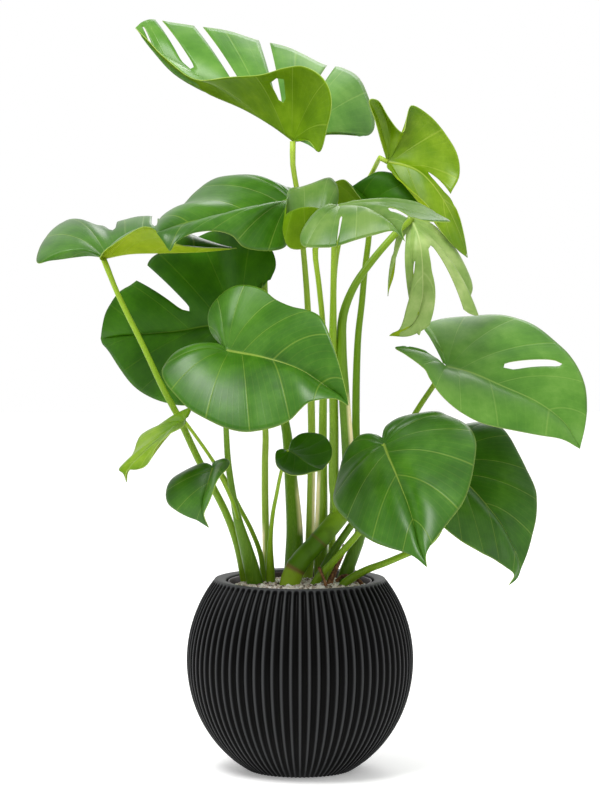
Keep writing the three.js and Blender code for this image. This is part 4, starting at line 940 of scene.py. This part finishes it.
    Blade("low_back_leaf", 188, 1.5, [[0, 0, 8], [0, -6, 8]],
          midrib=[(180, 15, 395), (201, 0, 377), (220, -13, 359), (237, -25, 340), (253, -35, 320),
           (265, -44, 298), (275, -50, 274), (273, -54, 256), (263, -56, 243)],
          left=[(184, 33, 400), (191, 48, 417), (204, 57, 431), (220, 61, 437), (239, 61, 438),
           (258, 57, 433), (269, 51, 423), (280, 41, 403), (291, 29, 381), (300, 17, 360), (302, 5, 345),
           (300, -8, 323), (294, -22, 302), (287, -36, 282), (279, -47, 264), (273, -53, 251)],
          right=[(177, 25, 390), (165, -4, 376), (162, -40, 354), (168, -67, 333), (181, -75, 318),
           (203, -76, 301), (226, -73, 287), (242, -69, 278), (258, -64, 267), (269, -60, 257)],
          skin=GREEN, veins=8),
    Blade("small_left_leaf", 82, 1.3, [[0, -4, 3], [0, -4, 4]],
          midrib=[(-109, -70, 393), (-115, -78, 373), (-121, -83, 354), (-121, -84, 336), (-114, -82, 319)],
          left=[(-106, -70, 394), (-109, -73, 399), (-102, -81, 404), (-93, -94, 407), (-87, -107, 404),
           (-89, -115, 397), (-96, -119, 390), (-103, -121, 380), (-108, -120, 366), (-114, -115, 351),
           (-119, -107, 339), (-117, -96, 329)],
          right=[(-112, -64, 392), (-117, -56, 396), (-125, -48, 396), (-135, -42, 391), (-149, -41, 384),
           (-162, -46, 375), (-168, -54, 362), (-166, -62, 348), (-155, -70, 339), (-141, -75, 332),
           (-129, -79, 328), (-120, -81, 323)],
          skin=GREEN, veins=6),
    Blade("small_cupped_leaf", 79, 1.3, [[0, -2, -4], [0, -2, -6]],
          midrib=[(-14, -60, 414), (-5, -74, 410), (4, -88, 404), (15, -103, 398), (28, -121, 395)],
          left=[(-13, -47, 418), (-9, -44, 426), (1, -43, 433), (14, -47, 435), (28, -58, 433),
           (36, -72, 427), (40, -86, 418), (39, -100, 408), (33, -110, 400)],
          right=[(-18, -53, 414), (-24, -54, 415), (-30, -57, 412), (-31, -66, 404), (-29, -81, 396),
           (-21, -95, 390), (-11, -105, 387), (2, -111, 388), (16, -116, 392)],
          skin=DEEP, veins=6),
    Blade("lance_leaf", 105, 1.3, [[0, -3, 4], [0, -3, 4]],
          midrib=[(-145, -55, 450), (-161, -58, 441), (-177, -62, 427), (-190, -65, 412), (-204, -68, 399),
           (-215, -70, 388), (-217, -71, 375)],
          left=[(-141, -105, 452), (-145, -107, 447), (-159, -108, 440), (-171, -108, 430), (-179, -105, 420),
           (-184, -101, 408), (-192, -94, 397), (-204, -86, 392), (-215, -80, 391), (-218, -75, 383)],
          right=[(-141, -48, 455), (-138, -30, 464), (-149, -17, 460), (-165, -13, 451), (-183, -15, 439),
           (-198, -21, 432), (-205, -29, 424), (-209, -38, 411), (-215, -48, 401), (-224, -55, 394),
           (-227, -61, 389), (-221, -66, 385)],
          skin=BRIGHT, veins=6),
]
COLUMN_STEP = 0.012  # of the way along the margin
SMALL_COLUMN_STEP = 0.025
SMALL_BLADE = 120  # mm

for blade in BLADES:
    blade_shape = blade.build(COLUMN_STEP if blade.length > SMALL_BLADE else SMALL_COLUMN_STEP)
    slot = "young_leaf" if blade.skin in (BRIGHT, TURNED, LIMP) else "leaf"
    piece = finish_piece("leaf_" + blade.name, blade_shape, blade.skin, slot, "blade_" + blade.name)
    thickness = piece.modifiers.new("thickness", "SOLIDIFY")
    thickness.thickness = BLADE_THICKNESS
    thickness.offset = 0
    thickness.material_offset = 1
    thickness.material_offset_rim = 2

# ---------------------------------------------------------------- main stem, roots and dry sheath
# The creeping stem leaves the granulate at an old cut and climbs to the right. It is as thick as a thumb,
# glossy dark green, with a corky ring at each node, where short brown roots and a dried sheath remain.
MAIN_STEM = [(-13, -12, GROUND_Z), (-13, -12, 238), (-8, -10, 254), (2, -8, 270), (20, -4, 289), (50, 2, 324),
             (60, 4, 337)]
STEM_RINGS = ((0.33, 0.9), (0.62, 0.6))  # the way up the stem, and how far the ring stands out in mm
STEM_STEPS = 48
STEM_SIDES = 28
ROOT_STEPS = 20
ROOT_SIDES = 12
# A waxy green skin, paler at the old cut, with a brown corky ring at each node and faint flecks.
stem_skin, shader = new_material("main_stem_skin", 0.35, IOR=1.45, Specular_IOR_Level=0.15)
stem_uv = add_node(stem_skin, "ShaderNodeUVMap")
stem_parts = add_node(stem_skin, "ShaderNodeSeparateXYZ", Vector=stem_uv.outputs["UV"])
stem_place = add_node(stem_skin, "ShaderNodeTexCoord")
stem_noise = add_node(stem_skin, "ShaderNodeTexNoise", Vector=stem_place.outputs["Object"], Scale=60.0,
                      Detail=4.0)
stem_tone = ramp(stem_skin, stem_parts.outputs["Y"], (0.0, "#86a023"), (0.27, "#7c9a1e"),
                 (0.30, "#715a31"), (0.33, "#4b710d"), (0.60, "#42660a"),
                 (0.62, "#575621"), (0.64, "#4b710d"), (0.8, "#628614"),
                 (1.0, "#759520"))
stem_fleck = ramp(stem_skin, stem_noise.outputs["Fac"], (0.5, 1), (0.75, 0.7))
stem_mixed = add_node(stem_skin, "ShaderNodeMix", {"data_type": "RGBA", "blend_type": "MULTIPLY"}, i0=1.0,
                      i6=stem_tone, i7=stem_fleck)
link(stem_skin, stem_mixed.outputs[2], shader.inputs["Base Color"])
stem_bump = add_node(stem_skin, "ShaderNodeBump", Strength=0.3, Distance=0.0006,
                     Height=stem_noise.outputs["Fac"])
link(stem_skin, stem_bump.outputs["Normal"], shader.inputs["Normal"])


def stem_radius(way):
    ring = sum(height * math.exp(-((way - place) / 0.02) ** 2) for place, height in STEM_RINGS)
    return (13.3 - 1.5 * way + ring) * MM


stem_shape = bmesh.new()
stem_line = even_line([Vector(place) * MM for place in MAIN_STEM], STEM_STEPS)
sweep(stem_shape, stem_line, stem_radius, STEM_SIDES)
bmesh.ops.recalc_face_normals(stem_shape, faces=stem_shape.faces)
finish_piece("climbing_stem", stem_shape, [stem_skin], "stem", "main_stem")

# Dry cork and fibre: rough and dull, dark brown in the furrows and straw brown on the ridges.
root_bark, shader = new_material("dry_root_bark", 0.85, IOR=1.5)
root_place = add_node(root_bark, "ShaderNodeTexCoord")
root_noise = add_node(root_bark, "ShaderNodeTexNoise", Vector=root_place.outputs["Object"], Scale=260.0,
                      Detail=4.0)
link(root_bark, ramp(root_bark, root_noise.outputs["Fac"], (0.3, "#3d2415"), (0.5, "#6b4427"),
                     (0.75, "#9b7448")), shader.inputs["Base Color"])
root_bump = add_node(root_bark, "ShaderNodeBump", Strength=0.6, Distance=0.0008,
                     Height=root_noise.outputs["Fac"])
link(root_bark, root_bump.outputs["Normal"], shader.inputs["Normal"])

# name, radius in mm, how flat it is, its middle line in mm
ROOTS = [
    ("aerial_root_left", 2.4, 1, [(24, -20, 262), (29, -24, 250), (33, -28, 238), (34, -29, 222)]),
    ("aerial_root_right", 2.6, 1, [(46, 9, 240), (56, 7, 247), (70, 6, 245), (79, 7, 236), (81, 7, 222)]),
    ("dry_sheath", 4.6, 0.25, [(58, -3, 288), (48, -5, 263), (38, -7, 240), (36, -7, 222)]),
]
for name, radius, flat, line in ROOTS:
    root_shape = bmesh.new()
    root_line = even_line([Vector(place) * MM for place in line], ROOT_STEPS)
    sweep(root_shape, root_line, lambda way, r=radius: r * (0.8 + 0.2 * way) * MM, ROOT_SIDES,
          outline=lambda way, angle, f=flat: math.hypot(math.cos(angle), f * math.sin(angle))
          * (1 + 0.12 * math.sin(9 * way + 2 * angle)))
    bmesh.ops.recalc_face_normals(root_shape, faces=root_shape.faces)
    finish_piece("brown_" + name, root_shape, [root_bark], "root", name)

# ---------------------------------------------------------------- water gauge
# A clear tube with a float, pushed into the granulate at the edge. It carries two orange marks.
GAUGE_PLACE = Vector((0.068, 0.046))
GAUGE_RADIUS = 0.0034
GAUGE_FOOT_Z = 0.218
GAUGE_TOP_Z = 0.279
GAUGE_SIDES = 32
gauge_shape = bmesh.new()
lathe(gauge_shape, [(0, GAUGE_FOOT_Z), (GAUGE_RADIUS, GAUGE_FOOT_Z), (GAUGE_RADIUS, GAUGE_TOP_Z - 0.0015),
                    (GAUGE_RADIUS - 0.0006, GAUGE_TOP_Z - 0.0002),
                    (GAUGE_RADIUS - 0.0014, GAUGE_TOP_Z), (0, GAUGE_TOP_Z)], GAUGE_SIDES)
bmesh.ops.translate(gauge_shape, verts=gauge_shape.verts, vec=(GAUGE_PLACE.x, GAUGE_PLACE.y, 0))
# Clear acrylic: its pale grey is a painted view of what stands behind it. It is glossy, with an orange ring
# at each mark.
gauge_tube, shader = new_material("clear_gauge_tube", 0.12, IOR=1.49)
gauge_place = add_node(gauge_tube, "ShaderNodeTexCoord")
gauge_parts = add_node(gauge_tube, "ShaderNodeSeparateXYZ", Vector=gauge_place.outputs["Object"])
gauge_height = add_node(gauge_tube, "ShaderNodeMapRange", Value=gauge_parts.outputs["Z"], From_Min=0.22,
                        From_Max=0.28)
link(gauge_tube, ramp(gauge_tube, gauge_height.outputs["Result"], (0.0, "#c9c6cc"), (0.60, "#d5d3d9"),
                      (0.61, "#d8742e"), (0.64, "#d5d3d9"), (0.83, "#dcdbe0"),
                      (0.84, "#d8742e"), (0.87, "#d9d8dd"), (1.0, "#b9b8be")),
     shader.inputs["Base Color"])
finish_piece("clear_water_gauge", gauge_shape, [gauge_tube], "water_gauge", "water_gauge")
